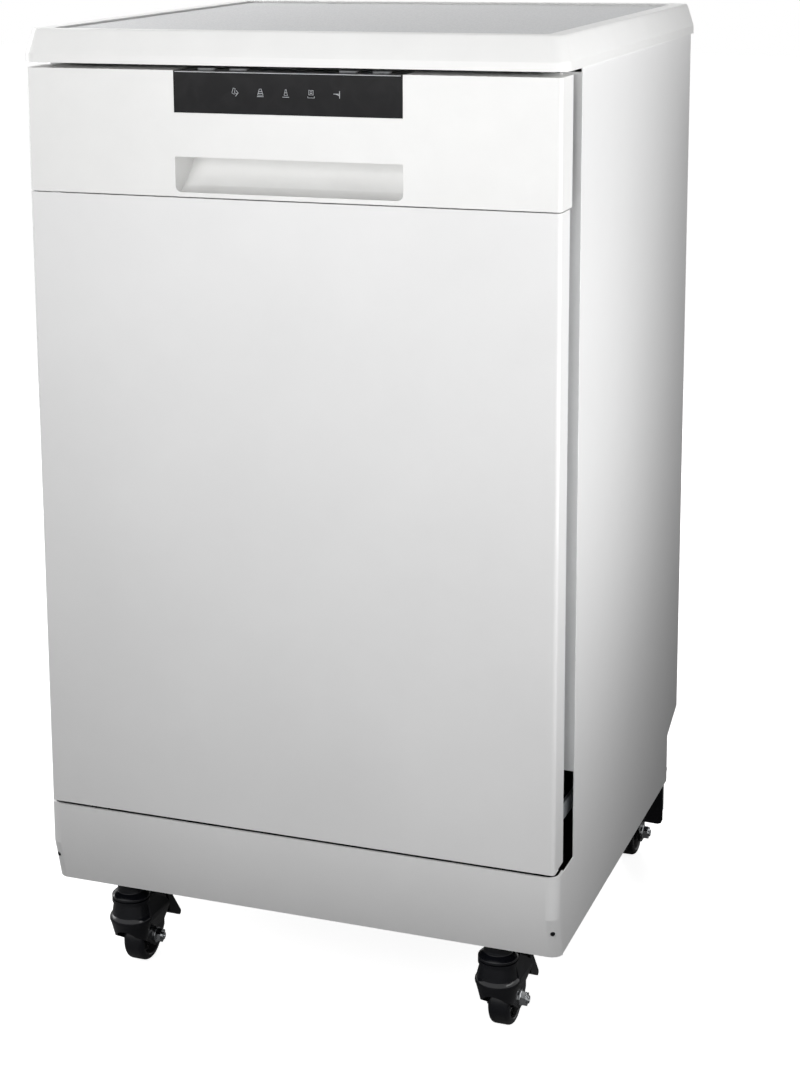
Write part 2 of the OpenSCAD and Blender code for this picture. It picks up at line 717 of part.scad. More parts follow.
module wheel() {
  half = wheel_width / 2;
  hub_r = 10;
  rim_in = wheel_r - tread_r - 3;
  web = 3.5;
  rotate([0, 90, 0]) difference() {
    rotate_extrude($fn = smooth) polygon(concat([[axle_r + 0.2, -half], [hub_r, -half], [hub_r + 1, -web],
      [rim_in, -web], [rim_in + 1, -half + 1], [rim_in + 2, -half]], arc([wheel_r - tread_r,
        -half + tread_r], tread_r, -90, 0),
      arc([wheel_r - tread_r, half - tread_r], tread_r, 0, 90), [[rim_in + 2, half], [rim_in + 1, half - 1],
      [rim_in, web], [hub_r + 1, web], [hub_r, half], [axle_r + 0.2, half]]));
    for (a = [0 : 60 : 300]) rotate([0, 0, a]) translate([(hub_r + rim_in) / 2 + 0.5, 0, -half])
      cylinder(h = 2 * half, r = 3, $fn = 16);
  }
}

module at_front_caster(side) at_front() translate([side * front_caster_x, front_caster_y, 0]) children();
module at_front_axle(side) at_front_caster(side) translate([0, caster_trail, wheel_r]) children();
module at_rear_axle(side) at_front() translate([side * rear_caster_x, rear_axle_y, wheel_r]) children();

module caster_fork_left() color(black_plastic) at_front_caster(-1) caster_fork();
module caster_fork_right() color(black_plastic) at_front_caster(1) caster_fork();
module brake_pedal_left() color(black_plastic) at_front_caster(-1) brake_pedal();
module brake_pedal_right() color(black_plastic) at_front_caster(1) brake_pedal();
module caster_axle_left() color(chrome_tone) at_front_axle(-1) caster_axle(leg_half);
module caster_axle_right() color(chrome_tone) at_front_axle(1) caster_axle(leg_half);
module wheel_front_left() color(rubber_grey) at_front_axle(-1) wheel();
module wheel_front_right() color(rubber_grey) at_front_axle(1) wheel();
module wheel_rear_left() color(rubber_grey) at_rear_axle(-1) wheel();
module wheel_rear_right() color(rubber_grey) at_rear_axle(1) wheel();

module rear_brackets() color(black_plastic) at_front() both_sides()
  translate([rear_caster_x, rear_axle_y, 0]) {
  plate_z = z_base - 3.8;
  skirt_y = -33.5;
  out = half_w - 2.4 - rear_caster_x;
  difference() {
    union() {
      slab([-40, -85, plate_z], [40, 13, z_base - fine_gap]);
      difference() {
        front_cut(skirt_y, skirt_y + 2.6) polygon([[-40, z_base - 1], [-40, 62], [-36, 58], [-24, 56],
          [out - 5, 54],
          [out - 1.5, 55.5], [out, 59], [out, z_base - 1]]);
        front_cut(skirt_y - cut, skirt_y + 9) translate([-fork_in, 0]) square([2 * fork_in, 66]);
      }
      for (s = [-1, 1]) side_cut(s > 0 ? fork_in : -fork_in - 3.5, s > 0 ? fork_in + 3.5 : -fork_in) union() {
        translate([0, wheel_r]) circle(11, $fn = round_fn);
        polygon([[-11, wheel_r], [11, wheel_r], [13, z_base - 1], [skirt_y, z_base - 1], [skirt_y, 58]]);
      }
      slab([out - 3, skirt_y, 70], [out, skirt_y + 6, z_base - 1]);
    }
    rod_x(-60, 60, 0, wheel_r, 4.1);
    for (x = [-26, 26], y = [-70, -50]) rod_z(x, y, plate_z - cut, z_base + 1, 3.5);
  }
}

module rear_axles() color(chrome_tone) {
  at_rear_axle(-1) caster_axle(fork_in + 3.6);
  at_rear_axle(1) caster_axle(fork_in + 3.6);
}

// ---------- door ----------
// a plan outline of the door front: rounded front corners, cut off at a depth
module door_plan(half, front, r, depth) difference() {
  translate([0, front + 50]) rounded(2 * half, 100, r);
  translate([-2 * half, depth]) square([4 * half, 200]);
}

module door_panel() color(enamel) at_front() {
  top = z_seam - 0.4;
  difference() {
    translate([0, 0, z_door_low]) linear_extrude(top - z_door_low)
      door_plan(door_half, 0, 4, door_side_depth);
    translate([0, 0, z_door_low + sheet]) linear_extrude(top - z_door_low - 2 * sheet)
      door_plan(door_half - sheet, sheet, 2.8, door_side_depth + cut);
    slab([-door_half - cut, 14, z_door_low - cut], [door_half + cut, 40, z_door_low + sheet + fine_gap]);
  }
  both_sides() {
    slab([door_half - 8, door_side_depth - sheet, hinge_z + 60], [door_half - 0.5, door_side_depth, top - 2]);
    slab([liner_half + rest_gap, door_side_depth - sheet, hinge_z + 200],
      [door_half - 0.5, door_side_depth, top - 2]);
  }
}

// side view of the pocket handle's hollow, grown by g: a scooped floor, a back wall and a roof above the mouth
module pocket_outline(g, front) {
  d = pocket_depth;
  z = pocket_low;
  polygon([[front, z - g], [0.1 * d, z - g], [0.22 * d + g * 0.2, z + 1.5 - g],
    [0.4 * d + g * 0.4, z + 4.5 - g * 0.9],
    [0.58 * d + g * 0.6, z + 9.5 - g * 0.8], [0.76 * d + g * 0.7, z + 16 - g * 0.7],
    [0.89 * d + g * 0.85, z + 23 - g * 0.5], [0.98 * d + g * 0.9, z + 30 - g * 0.3], [d + g, z + 36],
    [d + g, grip_high + g], [front, grip_high + g]]);
}

// the pocket's mouth as seen from the front, with its lower corners rounded
module pocket_mouth(top) intersection() {
  translate([pocket_offset, pocket_low + 30]) rounded(pocket_width, 60, 6);
  translate([pocket_offset - pocket_width, pocket_low - cut])
    square([2 * pocket_width, top - pocket_low + cut]);
}

module console() color(enamel) at_front() {
  wall = 3;
  scoop_wall = 2.5;
  x0 = pocket_offset - pocket_width / 2;
  x1 = pocket_offset + pocket_width / 2;
  rib = scoop_wall + fine_gap;
  difference() {
    union() {
      difference() {
        translate([0, 0, z_seam]) linear_extrude(console_height)
          door_plan(door_half, 0, 4, console_side_depth);
        translate([0, 0, z_seam - cut]) linear_extrude(console_height - wall + cut)
          door_plan(door_half - wall, wall, 2, console_side_depth + cut);
      }
      slab([-liner_half, console_side_depth - 1, z_door_top - wall],
        [liner_half, liner_face - 1.5, z_door_top]);
      side_cut(x0 + 1, x1 - 1) polygon([[wall - 1, pocket_high], [wall + 1, pocket_high],
        [wall + 2.4, pocket_high + 1.4],
        [wall + 3, pocket_high + 4], [wall + 1.5, pocket_high + 8], [wall - 1, pocket_high + 10]]);
      for (x = [-200, -150, 160, 210]) slab([x - 1, wall - 1, z_seam + 12],
        [x + 1, 20, z_door_top - wall + 1]);
      for (x = [x0 - rib - 2.5, x1 + rib]) slab([x, wall - 1, pocket_high + 10],
        [x + 2.5, 34, z_door_top - wall + 1]);
      for (x = [x0 - 3, x1 - 7]) slab([x, 10, board_z - 3], [x + 10, 32, board_z - rest_gap]);
      // screw bosses behind the four corners
      for (x = [-232, 232], z = [z_seam + 22, z_door_top - 26]) rod_y(x, wall - 1, 24, z, 5);
    }
    for (x = [-232, 232], z = [z_seam + 22, z_door_top - 26]) rod_y(x, 12, 25, z, 1.7);
    front_cut(-cut, wall + cut) pocket_mouth(pocket_high);
    slab([x0, -cut, window_low], [x1, wall + cut, z_door_top + cut]);
    slab([x0, -cut, z_door_top - wall - cut], [x1, 36, z_door_top + cut]);
  }
  // the scoop is moulded apart and clips in behind the mouth
  difference() {
    side_cut(x0 - scoop_wall, x1 + scoop_wall) pocket_outline(scoop_wall, wall + fine_gap);
    intersection() {
      side_cut(x0, x1) pocket_outline(0, 0);
      front_cut(0, pocket_depth + cut) pocket_mouth(grip_high + cut);
    }
  }
}

module display_window() color(black_plastic) at_front() {
  x0 = pocket_offset - pocket_width / 2 + 0.15;
  x1 = pocket_offset + pocket_width / 2 - 0.15;
  difference() {
    union() {
      slab([x0, 0, window_low + 0.15], [x1, 2.6, z_door_top]);
      slab([x0, 0, z_door_top - 2.8], [x1, 35.8, z_door_top]);
    }
    for (x = button_xs) translate([x, button_y, z_door_top - 9]) linear_extrude(18) rounded(18.8, 9.8, 3);
  }
}

module door_liner() color(steel) at_front() {
  top = z_door_top - 4;
  t = sheet;
  high_front = console_side_depth + rest_gap;
  difference() {
    side_cut(-liner_half, liner_half) polygon([[14, liner_low], [liner_low_face, liner_low],
      [liner_low_face, liner_step - 6], [liner_face, liner_step], [liner_face, top], [high_front, top],
      [high_front, z_seam - 3], [14, z_seam - 3]]);
    side_cut(-liner_half + t, liner_half - t) polygon([[13, liner_low + t],
      [liner_low_face - t, liner_low + t],
      [liner_low_face - t, liner_step - 5], [liner_face - t, liner_step + 1], [liner_face - t, top - t],
      [high_front - cut, top - t], [high_front - cut, z_seam - 2], [13, z_seam - 2]]);
    slab([-32, 40, z_seam - 253], [112, 60, z_seam - 149]);
    slab([-12, 40, tub_top + 7], [12, 60, tub_top + 16]);
  }
}

module hinge_arms() color(galvanised) at_front() both_sides() {
  x0 = liner_half + 0.1;
  x1 = x0 + 3;
  difference() {
    union() {
      side_cut(x0, x1) union() {
        translate([hinge_depth, hinge_z]) circle(11, $fn = round_fn);
        polygon([[hinge_depth - 11, hinge_z], [hinge_depth + 11, hinge_z], [hinge_depth + 9, hinge_z + 60],
          [hinge_depth + 2, hinge_z + 190], [hinge_depth - 13, hinge_z + 190],
            [hinge_depth - 13, hinge_z + 20]]);
      }
      rod_x(x1 - 1, x1 + 1.8, hinge_depth, hinge_z, 8);
    }
    rod_x(x0 - 9, x1 + 9, hinge_depth, hinge_z, 4.08);
    for (z = [60, 120, 175]) rod_x(x0 - 9, x1 + 9, hinge_depth - 5, hinge_z + z, 2.5);
  }
}

module latch() color(nylon_grey) at_front() {
  z1 = z_door_top - 18;
  difference() {
    slab([-28, 22, grip_high + 6], [28, liner_face - 1.5, z1]);
    slab([-10, 34, tub_top + 7], [10, 60, tub_top + 16]);
    slab([-22, 21, grip_high + 12], [22, 30, z1 - 12]);
  }
}

module control_board() color(board_green) at_front() {
  x0 = pocket_offset - pocket_width / 2 + 3;
  x1 = pocket_offset + pocket_width / 2 - 3;
  z = board_z;
  slab([x0, 4.2, z], [x1, 34, z + 1.6]);
  slab([pocket_offset - 60, 4.2, window_low + 4], [pocket_offset + 60, 5.8, z + 1]);
  for (x = button_xs) slab([x - 4, button_y - 4, z + 1], [x + 4, button_y + 4, z + 3.5]);
}

// a push button in the window's top edge
module push_button(x) color(pale_grey) at_front() translate([x, button_y, z_door_top]) {
  translate([0, 0, -5]) linear_extrude(6) rounded(18, 9, 2.6);
  translate([0, 0, -5.4]) linear_extrude(2.2) rounded(22, 13, 3);
  rod_z(0, 0, -10.8, -5, 2.5);
}

module button_power() push_button(button_xs[0]);
module button_program() push_button(button_xs[1]);
module button_delay() push_button(button_xs[2]);
module button_start() push_button(button_xs[3]);

module dispenser_body() color(nylon_grey) at_front() {
  z0 = z_seam - 251;
  z1 = z_seam - 151;
  difference() {
    union() {
      slab([-30, 32, z0], [110, liner_face + 1, z1]);
      slab([-34, liner_face + 0.1, z0 - 4], [114, liner_face + 1.7, z1 + 4]);
      for (z = [z0 + 8, z0 + 86.4]) slab([-34, liner_face + 1, z], [52, liner_face + 7, z + 2]);
    }
    slab([-18, 38, z0 + 18], [40, 70, z0 + 78]);
    rod_y(80, 40, 70, z0 + 66, 13);
  }
}

module dispenser_lid() color(pale_grey) at_front() {
  z0 = z_seam - 251;
  slab([-22, liner_face + 2.2, z0 + 10.3], [46, liner_face + 4.4, z0 + 86.1]);
  slab([30, liner_face + 4, z0 + 36], [40, liner_face + 6.4, z0 + 60]);
}

module rinse_cap() color(black_plastic) at_front() {
  z = z_seam - 185;
  rod_y(80, 44, liner_face + 3, z, 12.6);
  rod_y(80, liner_face + 2.1, liner_face + 5, z, 15.5);
  slab([68, liner_face + 4, z - 2], [92, liner_face + 8, z + 2]);
}

// ---------- racks ----------
// a basket of welded wire: crosswise hoops, lengthwise wires that turn up at both ends, and two rims
module basket(half, y0, y1, z, h, pitch_y) {
  n = floor(half / rack_pitch);
  m = floor((y1 - y0 - 20) / pitch_y);
  start = (y0 + y1) / 2 - m * pitch_y / 2;
  drop = 2 * wire_r - 0.4;
  for (i = [-n : n]) {
    rod_y(i * rack_pitch, y0, y1, z, wire_r, wire_fn);
    for (y = [y0, y1]) rod_z(i * rack_pitch, y, z, z + h, wire_r, wire_fn);
  }
  for (j = [0 : m]) {
    rod_x(-half, half, start + j * pitch_y, z + drop, wire_r, wire_fn);
    both_sides() rod_z(half, start + j * pitch_y, z + drop, z + h, wire_r, wire_fn);
  }
  for (k = [1, 0.5], y = [y0, y1]) rod_x(-half - wire_r, half + wire_r, y, z + h * k,
    k == 1 ? rim_r : wire_r, wire_fn);
  both_sides() for (k = [1, 0.5]) rod_y(half, y0, y1, z + h * k, k == 1 ? rim_r : wire_r, wire_fn);
}

// a row of upright tines on a crosswise or lengthwise wire
module tines(x, y0, y1, z, h, step) for (y = [y0 : step : y1]) rod_z(x, y, z, z + h, wire_r, wire_fn);

module upper_rack() color(steel) at_front() {
  basket(rack_half, upper_front, upper_back, upper_z, upper_basket_height, 64);
  for (x = [1, 3]) tines(x * rack_pitch, upper_front + 50, upper_back - 50, upper_z, 55, 32);
}

module rack_slides() color(nylon_grey) at_front() {
  x0 = rack_half + wire_r + 0.2;
  both_sides() {
    slab([x0, upper_front + 4, rail_z - 12], [x0 + 3, upper_back, rail_z + 12]);
    slab([x0 + 2, upper_front, rail_z - 7.6], [tub_half - 3, upper_back, rail_z + 7.6]);
  }
  for (y = [upper_front + 70, upper_back - 84]) difference() {
    slab([-rack_half - 5, y, upper_z + upper_basket_height + rim_r + fine_gap],
      [-rack_half + 12, y + 12, upper_z + upper_basket_height + 13]);
    rod_y(-rack_half + 5, y - 9, y + 20, upper_z + upper_basket_height + 7.5, 1.8);
  }
}

module cup_shelf() color(steel) at_front() {
  x0 = -rack_half + 5;
  x1 = x0 + 84;
  y0 = upper_front + 45;
  y1 = upper_back - 50;
  z = upper_z + upper_basket_height + 7.5;
  r = 1.7;
  rod_y(x0, y0, y1, z, r, 16);
  rod_y(x1, y0, y1, z, r, 16);
  rod_y(x0 + 42, y0, y1, z + 1.4, 1.5, wire_fn);
  n = 9;
  for (i = [0 : n]) if (i != 1 && i != n - 1)
    rod_x(x0, x1, y0 + r + i * (y1 - y0 - 2 * r) / n, z, 1.5, wire_fn);
}

module upper_manifold() color(nylon_grey) at_front() {
  z = upper_z - 12;
  difference() {
    union() {
      rod_y(0, tub_mid_y, tub_back - 8.6, z, 7.5);
      rod_z(0, tub_mid_y, z - 9, z + 9.5, 13);
      rod_z(0, tub_mid_y, z - 26, z - 8, 7);
      rod_z(0, tub_mid_y, z - 27, z - 24, 11);
      for (y = [tub_mid_y + 60, tub_back - 60]) slab([-6, y, z], [6, y + 10, z + 9.8]);
    }
    rod_y(0, tub_mid_y, tub_back, z, 5);
    rod_z(0, tub_mid_y, z - 20, z + 4, 4.5);
  }
}

// a spray arm: two swept blades with a hub, seen from above
module arm_blades(reach, root, tip) {
  for (a = [0, 180]) rotate([0, 0, a]) polygon([[0, -root], [reach * 0.35, -root * 0.95],
    [reach * 0.7, -tip * 1.1],
    [reach * 0.95, -tip * 0.6], [reach, 0], [reach * 0.97, tip * 0.8], [reach * 0.85, tip * 1.3],
    [reach * 0.5, root * 0.9], [0, root * 1.1]]);
}

// a hollow arm: water enters at the hub, runs along the blades and leaves by the jets on top
module spray_arm(reach, hub, bore, h) {
  wall = 2;
  jet_r = 1.1;
  jets = [for (a = [0, 180], i = [0 : 4]) [a, 38 + i * (reach - 55) / 4, i % 2 * 6 - 3]];
  difference() {
    union() {
      linear_extrude(h) arm_blades(reach, 15, 10);
      translate([0, 0, -2]) cylinder(h = h + 4, r = hub, $fn = round_fn);
      for (j = jets) rotate([0, 0, j[0]]) translate([j[1], j[2], h - 1]) cylinder(h = 2.6, r = 3, $fn = 16);
    }
    translate([0, 0, -9]) cylinder(h = h + 18, r = bore, $fn = round_fn);
    translate([0, 0, wall]) linear_extrude(h - 2 * wall) arm_blades(reach - wall, 15 - wall, 10 - wall);
    for (j = jets) rotate([0, 0, j[0]]) translate([j[1], j[2], h - wall - cut])
      cylinder(h = 6, r = jet_r, $fn = 12);
  }
}

module lower_spray_arm() color(nylon_grey) at_front() translate([0, tub_mid_y, tub_floor + 12])
  spray_arm(arm_reach, 16, 8.1, 12);
module upper_spray_arm() color(nylon_grey) at_front() translate([0, tub_mid_y, upper_z - 33.4])
  spray_arm(arm_reach, 14, 7.1, 10);

// clips that snap round the outermost bottom wires and carry the rack wheels on short axles
module wheel_clips() {
  plate_out = 9;
  plate_in = 6;
  grip = 4.5;
  both_sides() for (y = [lower_front + rack_wheel_inset, lower_back - rack_wheel_inset])
    translate([rack_wheel_x, y, 0]) difference() {
      union() {
        side_cut(-plate_out, -plate_in) union() {
          translate([0, rack_wheel_z]) circle(plate_in, $fn = round_fn);
          polygon([[-plate_in, rack_wheel_z], [plate_in, rack_wheel_z], [plate_out - 1, lower_z + grip],
            [1 - plate_out, lower_z + grip]]);
        }
        slab([-plate_out, 1 - plate_out, lower_z - grip], [plate_in, plate_out - 1, lower_z + grip]);
        rod_x(-plate_in - cut, 7, 0, rack_wheel_z, 3.4);
        rod_x(5.9, 7.4, 0, rack_wheel_z, 5.2);
      }
      rod_y(0, -plate_out - cut, plate_out + cut, lower_z, wire_r + fine_gap);
    }
}

module lower_rack() color(steel) at_front() {
  basket(rack_half, lower_front, lower_back, lower_z, lower_basket_height, 60);
  for (x = [-4, -2, 0, 2]) tines(x * rack_pitch, lower_front + 120, lower_back - 30, lower_z, 68, 28);
  wheel_clips();
}

module rack_wheel_pair(y) color(nylon_grey) at_front() both_sides()
  translate([rack_wheel_x, y, rack_wheel_z]) difference() {
  rod_x(-5.4, 5.6, 0, 0, rack_wheel_r, smooth);
  rod_x(-9, 9, 0, 0, 3.5);
  difference() {
    rod_x(3.5, 9, 0, 0, rack_wheel_r - 3);
    rod_x(3, 9, 0, 0, 6);
  }
}

module rack_wheels_front() rack_wheel_pair(lower_front + rack_wheel_inset);
module rack_wheels_rear() rack_wheel_pair(lower_back - rack_wheel_inset);

module cutlery_basket() color(nylon_grey) at_front() {
  z0 = lower_z + 2 * wire_r + 1.6;
  h = 120;
  y0 = lower_front + 8;
  d = 76;
  half = 78;
  wall = 2;
  cells = 3;
  difference() {
    translate([0, y0 + d / 2, z0]) linear_extrude(h) rounded(2 * half, d, 8);
    for (i = [0 : cells - 1]) {
      w = (2 * half - wall) / cells - wall;
      slab([-half + wall + i * (w + wall), y0 + wall, z0 + wall],
        [-half + wall + i * (w + wall) + w, y0 + d - wall, z0 + h + cut]);
    }
    for (i = [-5 : 5], z = [16, 50, 84]) slab([i * 14 - 4, y0 - cut, z0 + z],
      [i * 14 + 4, y0 + d + cut, z0 + z + 22]);
  }
}

base_chassis();
side_panel_left();
side_panel_right();
kick_plate();
rear_panel();
worktop_frame();
worktop_panel();
tub();
tub_gasket();
upper_rails();
sump();
filter_plate();
filter_cup();
wash_pump();
drain_pump();
inlet_valve();
drain_spigot();
cord_gland();
air_break();
feed_tube();
hinge_brackets();
door_strike();
float_cap();
caster_plates();
rear_brackets();
rear_axles();
caster_fork_left();
caster_fork_right();
brake_pedal_left();
brake_pedal_right();
caster_axle_left();
caster_axle_right();
wheel_front_left();
wheel_front_right();
wheel_rear_left();
wheel_rear_right();
door_panel();
console();
display_window();
door_liner();
hinge_arms();
latch();
control_board();
button_power();
button_program();
button_delay();
button_start();
dispenser_body();
dispenser_lid();
rinse_cap();
upper_rack();
rack_slides();
upper_manifold();
upper_spray_arm();
cup_shelf();
lower_rack();
rack_wheels_front();
rack_wheels_rear();
cutlery_basket();
lower_spray_arm();
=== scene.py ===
"""Portable dishwasher on casters: the visible model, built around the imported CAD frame.

Lengths are metres in the frame's own axes: +Z up, the door faces -Y, the origin is on the floor
under the middle of the worktop. Sizes are written as millimetres times MM, and places are worked
out from the frame's own nodes.
"""

import json
import logging
import math
from dataclasses import dataclass
from enum import Enum
from typing import Any, Iterable, Sequence

import bmesh
import bpy
from mathutils import Matrix, Vector

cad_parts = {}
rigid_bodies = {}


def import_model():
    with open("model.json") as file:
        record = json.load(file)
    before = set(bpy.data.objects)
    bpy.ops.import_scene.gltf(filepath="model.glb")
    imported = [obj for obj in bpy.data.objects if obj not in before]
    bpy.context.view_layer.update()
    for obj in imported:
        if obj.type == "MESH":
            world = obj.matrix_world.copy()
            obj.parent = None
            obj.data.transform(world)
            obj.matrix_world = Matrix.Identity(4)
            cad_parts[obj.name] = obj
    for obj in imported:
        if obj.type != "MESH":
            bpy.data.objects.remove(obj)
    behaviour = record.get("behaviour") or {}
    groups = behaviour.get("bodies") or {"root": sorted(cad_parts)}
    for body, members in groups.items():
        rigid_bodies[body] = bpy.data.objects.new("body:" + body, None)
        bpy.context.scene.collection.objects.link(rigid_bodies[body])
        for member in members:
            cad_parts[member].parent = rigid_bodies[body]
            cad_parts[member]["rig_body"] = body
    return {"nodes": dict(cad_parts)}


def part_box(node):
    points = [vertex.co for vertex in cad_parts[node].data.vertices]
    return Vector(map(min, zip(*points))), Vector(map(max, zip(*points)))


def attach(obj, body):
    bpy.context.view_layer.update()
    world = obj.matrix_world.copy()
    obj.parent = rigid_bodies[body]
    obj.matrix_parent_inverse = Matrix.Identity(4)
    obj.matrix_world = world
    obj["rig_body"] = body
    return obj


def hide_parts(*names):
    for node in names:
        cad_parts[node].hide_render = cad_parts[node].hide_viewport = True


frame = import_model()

MM = 0.001
LOG = logging.getLogger("dishwasher")
Point = Sequence[float]
Tree = bpy.types.NodeTree
Node = bpy.types.Node
Socket = bpy.types.NodeSocket


class Axis(Enum):
    """A direction of the frame, as the number of its coordinate."""

    Y = 1
    Z = 2


class Grain(Enum):
    """The way brushing lines run on a metal, as the pattern's squeeze along X, Y and Z."""

    ACROSS = (0.012, 1.0, 1.0)
    UPRIGHT = (1.0, 1.0, 0.012)


# ---------------------------------------------------------------- finishes


def linear(hex_colour: str) -> tuple[float, float, float, float]:
    """Turns an sRGB hex colour into the linear RGBA that shader sockets take.

    Args:
        hex_colour: six hex digits after a hash sign.

    Returns:
        Red, green and blue as linear light, with an alpha of 1.
    """
    parts = [int(hex_colour[i:i + 2], 16) / 255 for i in (1, 3, 5)]
    knee, power = 0.04045, 2.4
    r, g, b = (c / 12.92 if c <= knee else ((c + 0.055) / 1.055) ** power for c in parts)
    return (r, g, b, 1.0)


def add_node(tree: Tree, kind: str, inputs: dict[Any, Any] | None = None, **settings: Any) -> Node:
    """Adds a shader node with its settings, values and links.

    Args:
        tree: the material's or world's node tree.
        kind: Blender's class name for the node.
        inputs: a value, or another node's output to link, for each input by name or number.
        settings: attributes to set on the node first.

    Returns:
        The new node.
    """
    node = tree.nodes.new(kind)
    for name, value in settings.items():
        setattr(node, name, value)
    for key, value in (inputs or {}).items():
        if isinstance(value, Socket):
            tree.links.new(value, node.inputs[key])
        else:
            node.inputs[key].default_value = value
    return node


@dataclass(frozen=True)
class Finish:
    """A surface: what it is made of, and how it was made.

    The uniform values sit on the shader's own sockets. A subclass draws its pattern in paint(), which
    leads the colour to worn, moves the roughness by spread and embosses the surface by depth.
    """

    name: str
    colour: str
    roughness: float
    ior: float = 1.5
    metallic: float = 0.0
    worn: str = "#ffffff"
    spread: float = 0.1
    depth: float = 0.02 * MM

    def material(self) -> bpy.types.Material:
        """Returns the finish's material, made the first time that it is asked for."""
        made = bpy.data.materials.get(self.name)
        if made:
            return made
        made = bpy.data.materials.new(self.name)
        made.use_nodes = True
        tree = made.node_tree
        tree.nodes.clear()
        place = add_node(tree, "ShaderNodeTexCoord").outputs["Object"]
        shader = add_node(tree, "ShaderNodeBsdfPrincipled", {
            "Base Color": linear(self.colour), "Roughness": self.roughness, "IOR": self.ior,
            "Metallic": self.metallic})
        add_node(tree, "ShaderNodeOutputMaterial", {"Surface": shader.outputs[0]})
        made.diffuse_color = linear(self.colour)
        self.paint(tree, place, shader)
        return made

    def paint(self, tree: Tree, place: Socket, shader: Node) -> None:
        """Draws the finish's pattern; a plain finish has none.

        Args:
            tree: the material's node tree.
            place: the object coordinates.
            shader: the principled shader that the pattern drives.
        """

    def drive(self, tree: Tree, shader: Node, fac: Socket, height: Socket, shown: float = 1.0) -> None:
        """Lets one pattern vary the colour and the roughness, and another emboss the surface.

        Args:
            tree: the material's node tree.
            shader: the principled shader.
            fac: the first pattern, from 0 to 1; the colour is the worn one where it is 1.
            height: the second pattern, from 0 to 1; the surface is highest where it is 1.
            shown: how much of the embossing shows.
        """
        half = self.spread / 2
        mixed = add_node(tree, "ShaderNodeMix", {0: fac, 6: linear(self.colour), 7: linear(self.worn)},
                         data_type="RGBA")
        rough = add_node(tree, "ShaderNodeMapRange", {
            "Value": fac, "To Min": self.roughness - half, "To Max": self.roughness + half})
        bump = add_node(tree, "ShaderNodeBump", {"Height": height, "Distance": self.depth,
                                                 "Strength": shown})
        tree.links.new(mixed.outputs[2], shader.inputs["Base Color"])
        tree.links.new(rough.outputs[0], shader.inputs["Roughness"])
        tree.links.new(bump.outputs[0], shader.inputs["Normal"])


@dataclass(frozen=True)
class BakedEnamel(Finish):
    """Steel sheet sprayed and baked: slow waves of orange peel, and faint cloudiness from wiping."""

    worn: str = "#eeeeee"
    peel: float = 5.0 * MM
    cloud: float = 160.0 * MM

    def paint(self, tree: Tree, place: Socket, shader: Node) -> None:
        """Adds clouds of wiping and the orange peel, drawn coarser than life so that it shows."""
        cloud = add_node(tree, "ShaderNodeTexNoise", {"Vector": place, "Scale": 1 / self.cloud,
                                                      "Detail": 4.0, "Roughness": 0.55})
        wiped = add_node(tree, "ShaderNodeMapRange", {"Value": cloud.outputs[0], "From Min": 0.3,
                                                      "From Max": 0.75})
        peel = add_node(tree, "ShaderNodeTexNoise", {"Vector": place, "Scale": 1 / self.peel,
                                                     "Detail": 1.0})
        self.drive(tree, shader, wiped.outputs[0], peel.outputs[0])


@dataclass(frozen=True)
class MouldedPlastic(Finish):
    """Injection-moulded plastic: the mould's spark-eroded grain, and a slight change of tone."""

    spread: float = 0.12
    depth: float = 0.03 * MM
    grain: float = 0.9 * MM
    tone: float = 45 * MM
    dust: str = ""
    dust_top: float = 0.0
    dust_patch: float = 9 * MM
    dust_most: float = 0.3

    def paint(self, tree: Tree, place: Socket, shader: Node) -> None:
        """Adds a change of tone, the grain, coarser than life to show, and dust near the floor."""
        tone = add_node(tree, "ShaderNodeTexNoise", {"Vector": place, "Scale": 1 / self.tone,
                                                     "Detail": 5.0, "Roughness": 0.6})
        fac = add_node(tree, "ShaderNodeMapRange", {"Value": tone.outputs[0], "From Min": 0.3,
                                                    "From Max": 0.7})
        grain = add_node(tree, "ShaderNodeTexNoise", {"Vector": place, "Scale": 1 / self.grain,
                                                      "Detail": 2.0})
        self.drive(tree, shader, fac.outputs[0], grain.outputs[0])
        if self.dust:
            self.settle(tree, place, shader)

    def settle(self, tree: Tree, place: Socket, shader: Node) -> None:
        """Lays floor dust over the lowest part of the piece."""
        height = add_node(tree, "ShaderNodeSeparateXYZ", {0: place}).outputs[2]
        low = add_node(tree, "ShaderNodeMapRange", {"Value": height, "From Min": 0.0,
                                                    "From Max": self.dust_top,
                                                    "To Min": self.dust_most, "To Max": 0.0})
        patch = add_node(tree, "ShaderNodeTexNoise", {"Vector": place, "Scale": 1 / self.dust_patch,
                                                      "Detail": 6.0})
        amount = add_node(tree, "ShaderNodeMath", {0: low.outputs[0], 1: patch.outputs[0]},
                          operation="MULTIPLY")
        under = shader.inputs["Base Color"].links[0].from_socket
        dusty = add_node(tree, "ShaderNodeMix", {0: amount.outputs[0], 6: under,
                                                 7: linear(self.dust)}, data_type="RGBA")
        tree.links.new(dusty.outputs[2], shader.inputs["Base Color"])


